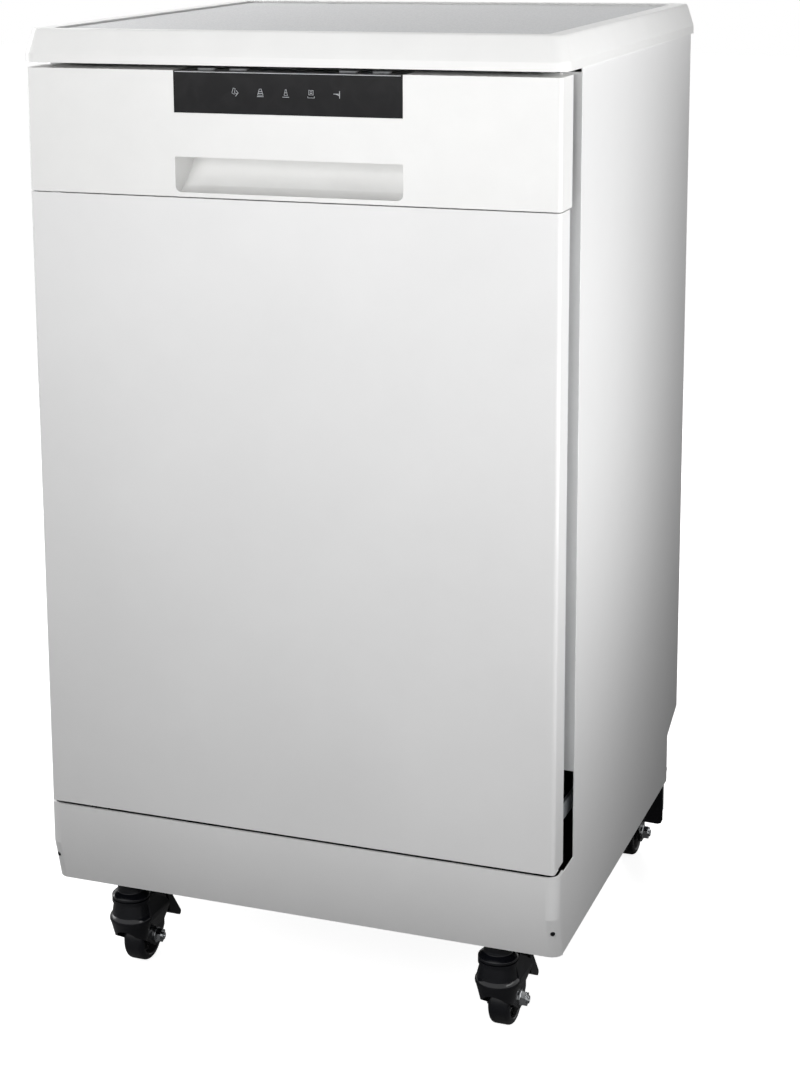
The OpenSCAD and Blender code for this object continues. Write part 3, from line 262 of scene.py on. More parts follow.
@dataclass(frozen=True)
class BrushedSteel(Finish):
    """Rolled stainless sheet: fine lines one way, brighter and duller streaks, faint water marks."""

    worn: str = "#a9abad"
    spread: float = 0.16
    depth: float = 0.012 * MM
    line: float = 0.7 * MM
    mark: float = 60 * MM
    marked: float = 0.35
    grain: Grain = Grain.ACROSS

    def paint(self, tree: Tree, place: Socket, shader: Node) -> None:
        """Adds the brushing, coarser than life to show, and marks left by drying water."""
        along = add_node(tree, "ShaderNodeMapping", {"Vector": place, "Scale": self.grain.value})
        lines = add_node(tree, "ShaderNodeTexNoise", {"Vector": along.outputs[0],
                                                      "Scale": 1 / self.line, "Detail": 3.0})
        marks = add_node(tree, "ShaderNodeTexNoise", {"Vector": place, "Scale": 1 / self.mark,
                                                      "Detail": 6.0, "Distortion": 0.6})
        both = add_node(tree, "ShaderNodeMix", {0: self.marked, 2: lines.outputs[0],
                                                3: marks.outputs[0]})
        fac = add_node(tree, "ShaderNodeMapRange", {"Value": both.outputs[0], "From Min": 0.35,
                                                    "From Max": 0.65})
        self.drive(tree, shader, fac.outputs[0], lines.outputs[0])


@dataclass(frozen=True)
class ZincCoated(Finish):
    """Hot-dip galvanised sheet: flat spangles of light and dark grey with a dull bloom."""

    worn: str = "#a8adb0"
    spread: float = 0.22
    depth: float = 0.01 * MM
    spangle: float = 9.0 * MM
    bloom: float = 30 * MM
    bloomed: float = 0.5

    def paint(self, tree: Tree, place: Socket, shader: Node) -> None:
        """Adds the crystals of the zinc, each with a tone of its own."""
        cells = add_node(tree, "ShaderNodeTexVoronoi", {"Vector": place, "Scale": 1 / self.spangle,
                                                        "Randomness": 1.0})
        tone = add_node(tree, "ShaderNodeSeparateColor", {0: cells.outputs["Color"]})
        bloom = add_node(tree, "ShaderNodeTexNoise", {"Vector": place, "Scale": 1 / self.bloom,
                                                      "Detail": 5.0})
        fac = add_node(tree, "ShaderNodeMix", {0: self.bloomed, 2: tone.outputs[0],
                                               3: bloom.outputs[0]})
        self.drive(tree, shader, fac.outputs[0], cells.outputs["Distance"])


@dataclass(frozen=True)
class Polished(Finish):
    """A polished or plated surface: hair-fine scratches and faint smears on a mirror gloss."""

    spread: float = 0.08
    depth: float = 0.004 * MM
    smear: float = 18.0 * MM
    hair: float = 0.8 * MM
    hair_squeeze: tuple[float, float, float] = (1.0, 1.0, 0.05)
    hair_turn: tuple[float, float, float] = (0.3, 0.5, 0.2)

    def paint(self, tree: Tree, place: Socket, shader: Node) -> None:
        """Adds smears to the gloss, and scratches to the normal, coarser than life to show."""
        smears = add_node(tree, "ShaderNodeTexNoise", {"Vector": place, "Scale": 1 / self.smear,
                                                       "Detail": 6.0, "Distortion": 1.2})
        fac = add_node(tree, "ShaderNodeMapRange", {"Value": smears.outputs[0], "From Min": 0.42,
                                                    "From Max": 0.72})
        along = add_node(tree, "ShaderNodeMapping", {"Vector": place, "Scale": self.hair_squeeze,
                                                     "Rotation": self.hair_turn})
        hairs = add_node(tree, "ShaderNodeTexNoise", {"Vector": along.outputs[0],
                                                      "Scale": 1 / self.hair, "Detail": 1.0})
        self.drive(tree, shader, fac.outputs[0], hairs.outputs[0])


@dataclass(frozen=True)
class PressedLaminate(Finish):
    """Decor laminate: a fine fleck of two greys under a pearl-textured, dull surface."""

    worn: str = "#c3c4c6"
    depth: float = 0.05 * MM
    fleck: float = 2.2 * MM
    pearl: float = 1.6 * MM
    pearl_shown: float = 0.6

    def paint(self, tree: Tree, place: Socket, shader: Node) -> None:
        """Adds flecks, drawn a little coarser than life so that they show, and the pearl texture."""
        flecks = add_node(tree, "ShaderNodeTexNoise", {"Vector": place, "Scale": 1 / self.fleck,
                                                       "Detail": 3.0, "Roughness": 0.7})
        fac = add_node(tree, "ShaderNodeMapRange", {"Value": flecks.outputs[0], "From Min": 0.4,
                                                    "From Max": 0.6})
        pearl = add_node(tree, "ShaderNodeTexVoronoi", {"Vector": place, "Scale": 1 / self.pearl},
                         feature="SMOOTH_F1")
        self.drive(tree, shader, fac.outputs[0], pearl.outputs["Distance"], self.pearl_shown)


@dataclass(frozen=True)
class Board(Finish):
    """Glass-fibre circuit board under green solder resist, with the traces showing faintly."""

    worn: str = "#2d7a50"
    pattern: float = 10 * MM
    trace: float = 0.03

    def paint(self, tree: Tree, place: Socket, shader: Node) -> None:
        """Adds lighter traces 2.5 mm apart."""
        traces = add_node(tree, "ShaderNodeTexBrick", {
            "Vector": place, "Scale": 1 / self.pattern, "Mortar Size": self.trace})
        self.drive(tree, shader, traces.outputs["Fac"], traces.outputs["Fac"])


# baked enamel on steel sheet: even white with a soft sheen, so lamps show as broad pale patches
ENAMEL = BakedEnamel("baked_white_enamel", "#f4f4f4", 0.34)
# ABS from a polished mould: the same white as the enamel, a shade smoother
ABS_WHITE = MouldedPlastic("moulded_white_abs", "#f5f5f4", 0.3, worn="#f2f2f1", grain=1.4 * MM,
                           depth=0.008 * MM, spread=0.03)
# melamine laminate pressed on a pearl plate: a dull grey that glints in points
LAMINATE = PressedLaminate("grey_worktop_laminate", "#cfd0d1", 0.42)
# acrylic over black ink: deep gloss, wiped now and then
BLACK_ACRYLIC = Polished("black_acrylic_window", "#2b2b2c", 0.09, 1.49, worn="#2e2e2f", spread=0.02)
# screen-printed ink for the signs: dull and slightly raised, so it stays pale where the window shines
ICON_INK = MouldedPlastic("printed_icon_ink", "#c9cccf", 0.5, worn="#bfc2c5")
# a pale stroke along the window's upper edge: a painted highlight of the edge, not ink
EDGE_HIGHLIGHT_PAINT = MouldedPlastic("window_painted_highlight", "#dfe2e4", 0.4, worn="#d2d5d8")
# polypropylene, moulded: waxy and dull, the black one a little grey where it is scuffed
PP_BLACK = MouldedPlastic("black_polypropylene", "#1d1e20", 0.52, worn="#26272a")
PP_GREY = MouldedPlastic("grey_polypropylene", "#8b9094", 0.5, worn="#7f8488")
PP_PALE = MouldedPlastic("pale_grey_polypropylene", "#c0c3c5", 0.46, worn="#b4b7ba")
# moulded nylon: a glossy blue-black, with floor dust on what stands lowest
CASTER_BLACK = MouldedPlastic("black_caster_nylon", "#0d0e12", 0.2, worn="#121318", grain=2.0 * MM,
                              depth=0.012 * MM, dust="#6f6d69", dust_top=45 * MM)
# cast polyurethane: duller than the hoods from rolling, and dusty round its foot
TREAD = MouldedPlastic("black_wheel_polyurethane", "#0f1014", 0.3, worn="#15161b", grain=1.5 * MM,
                       dust="#6f6d69", dust_top=20 * MM)
# hot-dip galvanised sheet: dull grey metal with crystals of light and dark
ZINC = ZincCoated("galvanised_sheet", "#cbcfd1", 0.42, metallic=1.0)
# cold-rolled stainless, brushed across the tub and upright on the door: streaked reflections
STAINLESS = BrushedSteel("brushed_stainless_sheet", "#c3c5c6", 0.3, metallic=1.0)
DOOR_STAINLESS = BrushedSteel("upright_brushed_stainless", "#c3c5c6", 0.28, metallic=1.0,
                              grain=Grain.UPRIGHT)
# steel wire dipped in nylon: soft grey, uneven where the coat has run
NYLON_WIRE = MouldedPlastic("nylon_coated_wire", "#a6abb0", 0.42, worn="#9aa0a5", grain=3.0 * MM,
                            depth=0.05 * MM)
# extruded EPDM rubber: near black and dull, paler where the liner presses it
GASKET = MouldedPlastic("door_seal_rubber", "#2c2d2f", 0.66, worn="#37383a", spread=0.1)
# bright zinc plate on steel: mirror gloss with faint smears
CHROME = Polished("zinc_chrome_plate", "#d6d8da", 0.16, metallic=1.0, worn="#b9bcbf")
# black zinc plate on steel: a dark metal that still glints
SCREW = Polished("black_zinc_screw", "#3c3d40", 0.3, metallic=1.0, worn="#2c2d30")
# ABS with a satin lacquer: touched often, so a little smoother in places
KEYCAP = MouldedPlastic("satin_grey_keycap", "#b9bbbd", 0.4, worn="#adafb2")
# glass-fibre board under solder resist: clear green with paler copper under it
BOARD_GREEN = Board("green_circuit_board", "#1b5537", 0.35)


# ---------------------------------------------------------------- making pieces

# corners of a CAD mesh, and of a finished piece, that lie nearer than this are one corner
SAME_CORNER = 0.004 * MM
SAME_POINT = 0.002 * MM
# faces of a CAD mesh that turn by less than this many degrees are one flat face
FLAT_WITHIN = 0.4
# edges that turn by more than this many degrees are rounded
EDGE_OVER = 35.0
# how far the big faces pull the shading normals their way, of 100
FLAT_WEIGHT = 80
# edges that turn by more than this many degrees stay sharp to look at, on parts and on bent wire
CREASE = 32.0
WIRE_CREASE = 50.0


def place_of(node: str) -> tuple[Vector, Vector]:
    """Returns the lowest and highest corners of a CAD node."""
    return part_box(node)


def body_of(node: str) -> str:
    """Returns the body that a CAD node rides on."""
    return frame["nodes"][node]["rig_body"]


def finished(obj: bpy.types.Object, finish: Finish, body: str,
             stands_for: Iterable[str] = (), crease: float = CREASE) -> bpy.types.Object:
    """Dresses a piece, smooths it and hangs it on its body.

    Args:
        obj: the piece, with its place in its mesh.
        finish: what it is made of.
        body: the CAD body that it rides on.
        stands_for: the CAD nodes that it replaces.
        crease: edges that turn by more than this many degrees stay sharp.

    Returns:
        The same piece.
    """
    obj.data.materials.clear()
    obj.data.materials.append(finish.material())
    obj.data.shade_smooth()
    obj.data.set_sharp_from_angle(angle=math.radians(crease))
    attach(obj, body)
    if stands_for:
        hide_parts(*stands_for)
    LOG.info("%s: %d faces, %s, on %s", obj.name, len(obj.data.polygons), finish.name, body)
    return obj


def to_object(bm: bmesh.types.BMesh, name: str) -> bpy.types.Object:
    """Turns a bmesh into an object at the origin, with its faces outward.

    Args:
        bm: the shape, which is freed.
        name: the piece's name.

    Returns:
        The new object.
    """
    bmesh.ops.remove_doubles(bm, verts=bm.verts, dist=SAME_POINT)
    bmesh.ops.recalc_face_normals(bm, faces=bm.faces)
    mesh = bpy.data.meshes.new(name)
    bm.to_mesh(mesh)
    bm.free()
    obj = bpy.data.objects.new(name, mesh)
    bpy.context.scene.collection.objects.link(obj)
    return obj


def islands(bm: bmesh.types.BMesh) -> list[list[bmesh.types.BMVert]]:
    """Returns the vertices of each separate solid in a shape."""
    left, found = set(bm.verts), []
    while left:
        group, front = [], [left.pop()]
        while front:
            vert = front.pop()
            group.append(vert)
            for edge in vert.link_edges:
                other = edge.other_vert(vert)
                if other in left:
                    left.remove(other)
                    front.append(other)
        found.append(group)
    return found


def copy_of(node: str, longest: float = math.inf) -> bmesh.types.BMesh:
    """Copies a CAD node's shape with its triangles joined into whole flat faces.

    Args:
        node: the CAD node.
        longest: only solids that reach no further than this length along any axis are kept.

    Returns:
        The copy.
    """
    bm = bmesh.new()
    bm.from_mesh(frame["nodes"][node].data)
    bmesh.ops.remove_doubles(bm, verts=bm.verts, dist=SAME_CORNER)
    if longest < math.inf:
        for group in islands(bm):
            spread = [max(v.co[i] for v in group) - min(v.co[i] for v in group) for i in range(3)]
            if max(spread) > longest:
                bmesh.ops.delete(bm, geom=group, context="VERTS")
    bmesh.ops.dissolve_limit(bm, angle_limit=math.radians(FLAT_WITHIN), verts=bm.verts, edges=bm.edges)
    return bm


def soften(obj: bpy.types.Object, radius: float, steps: int = 2) -> None:
    """Rounds the sharp edges of a piece as its tooling does, and keeps its big faces flat to look at.

    Args:
        obj: the piece.
        radius: the width of the rounding.
        steps: how many faces it has.
    """
    bevel = obj.modifiers.new("edge_rounding", "BEVEL")
    bevel.width = radius
    bevel.segments = steps
    bevel.limit_method = "ANGLE"
    bevel.angle_limit = math.radians(EDGE_OVER)
    normals = obj.modifiers.new("flat_faces_shade_flat", "WEIGHTED_NORMAL")
    normals.keep_sharp = True
    normals.weight = FLAT_WEIGHT


@dataclass(frozen=True)
class Trim:
    """A flat face that is drawn back: the axis it faces, where it lies, and how far it moves."""

    axis: Axis
    at: float
    by: float
    within: float = 0.005 * MM

    def cut(self, bm: bmesh.types.BMesh) -> None:
        """Moves the corners that lie on the face."""
        for vert in bm.verts:
            if abs(vert.co[self.axis.value] - self.at) < self.within:
                vert.co[self.axis.value] += self.by


@dataclass(frozen=True)
class Part:
    """A CAD node whose shape is right and that gets its edges rounded and its finish."""

    node: str
    finish: Finish
    edge: float = 0.4 * MM
    steps: int = 2
    trim: Trim | None = None

    def build(self) -> None:
        """Makes the piece that stands for the node."""
        shape = copy_of(self.node)
        if self.trim:
            self.trim.cut(shape)
        piece = to_object(shape, f"{self.node}_shape")
        finished(piece, self.finish, body_of(self.node), [self.node])
        soften(piece, self.edge, self.steps)


@dataclass(frozen=True)
class Run:
    """One length of wire: its corners, and whether it closes on itself."""

    corners: Sequence[Point]
    closed: bool = False


def bent_wire(name: str, runs: Sequence[Run], radius: float, bend: float, sides: int = 2,
              bend_steps: int = 4) -> bpy.types.Object:
    """Bends round wire along runs of corners.

    Args:
        name: the piece's name.
        runs: the lengths of wire.
        radius: half the wire's thickness.
        bend: how far from each corner the bend starts.
        sides: how round the wire is, as extra faces in each quarter.
        bend_steps: faces round each bend.

    Returns:
        The wires as one object.
    """
    bm = bmesh.new()
    turning = []
    for run in runs:
        dots = [bm.verts.new(point) for point in run.corners]
        for pair in zip(dots, dots[1:] + (dots[:1] if run.closed else [])):
            bm.edges.new(pair)
        turning += dots if run.closed else dots[1:-1]
    if turning and bend:
        bmesh.ops.bevel(bm, geom=turning, offset=bend, offset_type="OFFSET", segments=bend_steps,
                        profile=0.5, affect="VERTICES", material=-1)
    mesh = bpy.data.meshes.new(name)
    bm.to_mesh(mesh)
    bm.free()
    obj = bpy.data.objects.new(name, mesh)
    bpy.context.scene.collection.objects.link(obj)
    bpy.ops.object.select_all(action="DESELECT")
    bpy.context.view_layer.objects.active = obj
    obj.select_set(True)
    bpy.ops.object.convert(target="CURVE")
    curve = bpy.context.view_layer.objects.active.data
    curve.dimensions = "3D"
    curve.bevel_depth = radius
    curve.bevel_resolution = sides
    curve.use_fill_caps = True
    bpy.ops.object.convert(target="MESH")
    wire = bpy.context.view_layer.objects.active
    bm = bmesh.new()
    bm.from_mesh(wire.data)
    wire.name = f"{name}_rough"
    bpy.data.objects.remove(wire)
    return to_object(bm, name)


def join_into(target: bpy.types.Object, *others: bpy.types.Object) -> bpy.types.Object:
    """Adds the meshes of other objects to one object, and removes them.

    Args:
        target: the object that is kept.
        others: the objects whose meshes it takes.

    Returns:
        The kept object.
    """
    bm = bmesh.new()
    for obj in (target, *others):
        bm.from_mesh(obj.data)
    bm.to_mesh(target.data)
    bm.free()
    for obj in others:
        bpy.data.objects.remove(obj)
    return target


# ---------------------------------------------------------------- sub-assemblies


@dataclass
class Assembly:
    """A group of pieces that belong together."""

    parts: tuple[Part, ...] = ()

    def build(self) -> None:
        """Makes the parts whose CAD shape is right, then the group's own pieces."""
        for part in self.parts:
            part.build()
        self.own_pieces()

    def own_pieces(self) -> None:
        """Makes the pieces that the group models afresh; a plain group has none."""


@dataclass
class Cabinet(Assembly):
    """The worktop, the side and rear sheets, the kick plate and the base tray."""

    parts: tuple[Part, ...] = (
        Part("worktop_frame", ABS_WHITE, 1.2 * MM, 3),
        Part("worktop_panel", LAMINATE, 0.5 * MM),
        *(Part(f"side_panel_{side}", ENAMEL) for side in ("left", "right")),
        Part("kick_plate", ENAMEL, 0.8 * MM),
        Part("rear_panel", ZINC, 0.3 * MM),
        Part("base_chassis", PP_BLACK, 0.6 * MM),
        Part("hinge_brackets", ZINC),
        Part("door_strike", STAINLESS, 0.3 * MM),
    )
    corner: float = 12.0 * MM
    screw_up: float = 27.5 * MM
    lean_there: float = 4.2 * MM
    screw_head: float = 2.4 * MM
    screw_proud: float = 0.8 * MM
    recess: float = 0.8 * MM
    screw_turn: float = 60.0
    screw_faces: int = 24
    merged: float = 0.01 * MM

    def own_pieces(self) -> None:
        """Drives a screw into each rounded front corner of the kick plate."""
        low, high = place_of("kick_plate")
        for side, x, turn in (("left", low.x + self.corner, self.screw_turn - 180),
                              ("right", high.x - self.corner, -self.screw_turn)):
            middle = Vector((x, low.y + self.lean_there + self.corner, low.z + self.screw_up))
            screw = self.screw(middle)
            bmesh.ops.rotate(screw, cent=middle, matrix=Matrix.Rotation(math.radians(turn), 3, "Z"),
                             verts=screw.verts)
            finished(to_object(screw, f"kick_screw_{side}"), SCREW, body_of("kick_plate"))

    def screw(self, middle: Vector) -> bmesh.types.BMesh:
        """Turns a domed screw head with a recess about the X direction.

        Args:
            middle: the centre of the plate's rounded corner, on the screw's axis.

        Returns:
            The head, seated on the corner's surface.
        """
        head, proud, recess = self.screw_head, self.screw_proud, self.recess
        profile = [(0.0, -proud), (head, -proud), (head, 0.2 * proud), (0.8 * head, 0.8 * proud),
                   (recess, proud), (recess, 0.3 * proud), (0.0, 0.2 * proud)]
        bm = bmesh.new()
        dots = [bm.verts.new(middle + Vector((self.corner + along, 0, radius)))
                for radius, along in profile]
        edges = [bm.edges.new(pair) for pair in zip(dots, dots[1:])]
        bmesh.ops.spin(bm, geom=dots + edges, cent=middle, axis=(1, 0, 0), angle=math.tau,
                       steps=self.screw_faces, use_merge=True, use_duplicate=False)
        bmesh.ops.remove_doubles(bm, verts=bm.verts, dist=self.merged)
        return bm


@dataclass(frozen=True)
class Icon:
    """A programme sign printed on the window: strokes in millimetres from its middle."""

    across: float
    strokes: tuple[tuple[tuple[float, float], ...], ...]
    outline: tuple[tuple[float, float], ...] = ()

    def runs(self, middle: Vector) -> list[Run]:
        """Returns the sign's strokes about the window's sign line.

        Args:
            middle: the point of the sign line under the middle of the machine.

        Returns:
            One run for each stroke, and a closed one for the outline.
        """
        def placed(stroke: Sequence[tuple[float, float]]) -> list[Vector]:
            """Puts a stroke's corners on the window."""
            return [middle + Vector(((self.across + x) * MM, 0, z * MM)) for x, z in stroke]

        runs = [Run(placed(stroke)) for stroke in self.strokes]
        return runs + ([Run(placed(self.outline), closed=True)] if self.outline else [])


DISH_AND_BRUSH = Icon(-46.0, (((1.2, 1.8), (3.0, -0.6), (0.4, -3.6)), ((0.2, -0.6), (1.6, -1.6))),
                      ((-3.2, -0.8), (-1.8, 3.8), (0.2, 3.2), (-0.8, -1.8)))
COVERED_POT = Icon(-21.0, (((-1.3, 1.2), (1.3, 1.2)), ((-1.9, -0.6), (1.9, -0.6)),
                           ((-3.2, -3.4), (3.2, -3.4))),
                   ((-2.7, -2.2), (-1.0, 3.4), (1.0, 3.4), (2.7, -2.2)))
GLASS_ON_TRAY = Icon(4.0, (((-0.9, 0.6), (0.9, 0.6)), ((-3.2, -3.4), (3.2, -3.4))),
                     ((-1.7, -1.8), (-0.4, 3.4), (0.4, 3.4), (1.7, -1.8)))
PLATE_ON_RACK = Icon(28.5, (((-1.0, 2.0), (1.0, 2.0)), ((-1.0, 0.6), (1.0, 0.6)),
                            ((-3.2, -2.2), (-3.2, -3.5), (3.2, -3.5), (3.2, -2.2))),
                     ((-2.1, -0.8), (-2.1, 3.3), (2.1, 3.3), (2.1, -0.8)))
TAP = Icon(53.6, (((2.4, 3.2), (2.4, -3.4)), ((-3.4, 0.5), (2.2, 0.5)), ((-1.2, 0.4), (2.2, -0.9))))


# the console's lower edge, raised so that the seam under it reads as the dark line it is
SEAM_OPENED = Trim(Axis.Z, place_of("console")[0].z, 0.7 * MM)
# the liner's inner face, which would lie exactly on the tub's lip when the door is wide open
LINER_OFF_LIP = Trim(Axis.Y, place_of("door_liner")[0].y + 26.0 * MM, -0.03 * MM)


@dataclass
class Door(Assembly):
    """The door: outer sheet, console with its pocket and window, liner and dispenser."""

    parts: tuple[Part, ...] = (
        Part("door_panel", ENAMEL, 0.6 * MM, 3),
        Part("console", ABS_WHITE, 0.6 * MM, 3, SEAM_OPENED),
        Part("display_window", BLACK_ACRYLIC, 0.35 * MM),
        Part("door_liner", DOOR_STAINLESS, 0.25 * MM, trim=LINER_OFF_LIP),
        Part("hinge_arms", ZINC),
        Part("latch", PP_GREY, 0.6 * MM),
        Part("control_board", BOARD_GREEN, 0.2 * MM),
        Part("dispenser_body", PP_GREY, 0.8 * MM),
        Part("dispenser_lid", PP_PALE, 0.6 * MM),
        Part("rinse_cap", PP_BLACK, 0.6 * MM),
        *(Part(f"button_{name}", KEYCAP, 0.5 * MM, 3) for name in ("power", "program", "delay", "start")),
    )
    icons: tuple[Icon, ...] = (DISH_AND_BRUSH, COVERED_POT, GLASS_ON_TRAY, PLATE_ON_RACK, TAP)
    icon_drop: float = 19.0 * MM
    stroke: float = 0.3 * MM
    # width and inset of the painted highlight line on the window's upper edge
    painted_highlight_line: float = 0.35 * MM
    highlight_inset: float = 1.5 * MM

    def own_pieces(self) -> None:
        """Prints the programme signs, and paints a highlight on the window's upper edge as a pale line.
        """
        low, high = place_of("display_window")
        middle = Vector((0, low.y, high.z - self.icon_drop))
        runs = [run for icon in self.icons for run in icon.runs(middle)]
        signs = bent_wire("programme_signs", runs, self.stroke, 0.0, sides=1)
        finished(signs, ICON_INK, body_of("display_window"))
        # the pale stroke under the window's upper edge is a painted highlight of that edge
        level, inset = high.z - 3 * self.painted_highlight_line, self.highlight_inset
        line = Run([(low.x + inset, low.y, level), (high.x - inset, low.y, level)])
        finished(bent_wire("window_edge_line", [line], self.painted_highlight_line, 0.0), EDGE_HIGHLIGHT_PAINT,
                 body_of("display_window"))


@dataclass
class WashBay(Assembly):
    """The tub with its seal, filter, float and the machine bay under it."""

    parts: tuple[Part, ...] = (
        Part("tub", STAINLESS, 0.25 * MM),
        Part("tub_gasket", GASKET, 2.4 * MM, 4),
        Part("upper_rails", STAINLESS),
        Part("sump", PP_BLACK, 0.6 * MM),
        Part("filter_plate", STAINLESS, 0.2 * MM),
        Part("filter_cup", PP_GREY),
        Part("float_cap", PP_GREY, 1.2 * MM, 3),
        Part("wash_pump", ZINC, 0.6 * MM),
        Part("drain_pump", PP_BLACK, 0.6 * MM),
        Part("inlet_valve", PP_BLACK, 0.5 * MM),
        Part("drain_spigot", PP_BLACK),
        Part("cord_gland", PP_BLACK),
        Part("air_break", PP_PALE, 1.5 * MM),
        Part("feed_tube", PP_GREY, 0.8 * MM),
        Part("lower_spray_arm", PP_GREY, 1.6 * MM, 3),
    )


@dataclass(frozen=True)
class Basket:
    """A welded wire basket: wires that turn up at both ends, hoops across them, two rims and tines."""

    node: str
    tine_columns: tuple[int, ...]
    tine_height: float
    tine_pitch: float
    tine_margins: tuple[float, float]
    hoop_pitch: float
    below: float = 1.8 * MM
    wire: float = 1.8 * MM
    rim: float = 2.6 * MM
    pitch: float = 38.0 * MM
    bend: float = 9.0 * MM
    rim_bend: float = 13.0 * MM
    weld: float = 0.4 * MM
    hoop_margin: float = 10.0 * MM

    def ring(self, half: float, ends: tuple[float, float], z: float) -> Run:
        """Returns a closed rectangle of wire at one height."""
        return Run([(-half, ends[0], z), (half, ends[0], z), (half, ends[1], z), (-half, ends[1], z)],
                   closed=True)

    def build(self) -> None:
        """Makes the basket from the CAD node's outer size."""
        low, high = place_of(self.node)
        half = high.x - self.rim
        y0, y1 = low.y + self.rim, high.y - self.rim
        z, top = low.z + self.below, high.z - self.rim
        lift = 2 * self.wire - self.weld
        count = int(half / self.pitch)
        hoops = int((y1 - y0 - 2 * self.hoop_margin) / self.hoop_pitch)
        first = (y0 + y1 - hoops * self.hoop_pitch) / 2
        runs = [Run([(i * self.pitch, y0, top), (i * self.pitch, y0, z), (i * self.pitch, y1, z),
                     (i * self.pitch, y1, top)]) for i in range(-count, count + 1)]
        for y in (first + i * self.hoop_pitch for i in range(hoops + 1)):
            runs.append(Run([(-half, y, top), (-half, y, z + lift), (half, y, z + lift), (half, y, top)]))
        front, back = self.tine_margins
        # the hundredth keeps a row that rounding would lose
        rows = int((y1 - y0 - front - back) / self.tine_pitch + 0.01) + 1
        for x in (column * self.pitch for column in self.tine_columns):
            for y in (y0 + front + i * self.tine_pitch for i in range(rows)):
                runs.append(Run([(x, y, z), (x, y, z + self.tine_height)]))
        wires = bent_wire(f"{self.node}_wires", runs, self.wire, self.bend)
        waist = bent_wire("waist", [self.ring(half, (y0, y1), (z + top) / 2)], self.wire, self.rim_bend)
        rim = bent_wire("rim", [self.ring(half, (y0, y1), top)], self.rim, self.rim_bend, sides=3)
        finished(join_into(wires, waist, rim), NYLON_WIRE, body_of(self.node),
                 [self.node], crease=WIRE_CREASE)


@dataclass
class Racks(Assembly):
    """The two wire baskets with their slides, shelf, wheels, cutlery basket and upper arm."""

    parts: tuple[Part, ...] = (
        Part("rack_slides", PP_GREY, 0.6 * MM),
        Part("upper_manifold", PP_GREY, 0.5 * MM),
        Part("upper_spray_arm", PP_GREY, 1.4 * MM, 3),
        Part("cutlery_basket", PP_GREY, 0.5 * MM),
        Part("rack_wheels_front", PP_GREY, 0.5 * MM),
        Part("rack_wheels_rear", PP_GREY, 0.5 * MM),
    )
    baskets: tuple[Basket, ...] = (
        Basket("upper_rack", (1, 3), 55 * MM, 32 * MM, (50 * MM, 50 * MM), 64 * MM),
        Basket("lower_rack", (-4, -2, 0, 2), 68 * MM, 28 * MM, (120 * MM, 30 * MM), 60 * MM,
               below=27.7 * MM),
    )
    clip_longest: float = 60 * MM
    clip_edge: float = 0.5 * MM
    shelf_edge: float = 1.7 * MM
    shelf_rod: float = 1.5 * MM
    shelf_bend: float = 7 * MM
    shelf_spaces: int = 9

    def own_pieces(self) -> None:
        """Bends the baskets and the cup shelf, and cuts out the clips that carry the rack wheels."""
        for basket in self.baskets:
            basket.build()
        clips = finished(to_object(copy_of("lower_rack", self.clip_longest), "rack_wheel_clips"),
                         PP_GREY, body_of("lower_rack"))
        soften(clips, self.clip_edge)
        self.cup_shelf()

    def cup_shelf(self) -> None:
        """Bends the shelf's frame, and lays its rods across and one along them."""
        low, high = place_of("cup_shelf")
        edge, rod = self.shelf_edge, self.shelf_rod
        x0, x1, y0, y1, z = low.x + edge, high.x - edge, low.y + edge, high.y - edge, low.z + edge
        hoop = bent_wire("cup_shelf_wires", [Run([(x0, y0, z), (x1, y0, z), (x1, y1, z), (x0, y1, z)],
                                                 closed=True)], edge, self.shelf_bend)
        step = (y1 - y0) / self.shelf_spaces
        across = [Run([(x0, y0 + i * step, z), (x1, y0 + i * step, z)])
                  for i in range(2, self.shelf_spaces - 1)]
        middle = (x0 + x1) / 2
        along = Run([(middle, low.y, high.z - rod), (middle, high.y, high.z - rod)])
        rods = bent_wire("rods", across + [along], rod, 0.0)
        finished(join_into(hoop, rods), NYLON_WIRE, body_of("cup_shelf"), ["cup_shelf"],
                 crease=WIRE_CREASE)


@dataclass
class Casters(Assembly):
    """The four wheels with their hoods, pedals, brackets and axles."""

    parts: tuple[Part, ...] = (
        Part("caster_plates", CASTER_BLACK),
        Part("rear_brackets", CASTER_BLACK, 0.6 * MM),
        Part("rear_axles", CHROME, 0.3 * MM),
        *(Part(f"caster_fork_{side}", CASTER_BLACK, 1.2 * MM, 3) for side in ("left", "right")),
        *(Part(f"brake_pedal_{side}", CASTER_BLACK, 1.6 * MM, 3) for side in ("left", "right")),
        *(Part(f"caster_axle_{side}", CHROME) for side in ("left", "right")),
        *(Part(f"wheel_{end}_{side}", TREAD) for end in ("front", "rear") for side in ("left", "right")),
    )


# ---------------------------------------------------------------- studio


@dataclass(frozen=True)
class Softbox:
    """A soft lamp: where it hangs, what it faces, its size and strength, and if it is mirrored."""

    name: str
    place: Point
    aim: Point
    width: float
    height: float
    watts: float
    mirrors: bool = True

    def hang(self) -> None:
        """Puts the lamp in the scene."""
        data = bpy.data.lights.new(self.name, "AREA")
        data.shape = "RECTANGLE"
        data.size, data.size_y, data.energy = self.width, self.height, self.watts
        lamp = bpy.data.objects.new(self.name, data)
        lamp.visible_camera = False
        lamp.visible_glossy = self.mirrors
        lamp.location = self.place
        way = Vector(self.aim) - Vector(self.place)
        lamp.rotation_euler = way.to_track_quat("-Z", "Y").to_euler()
        bpy.context.scene.collection.objects.link(lamp)


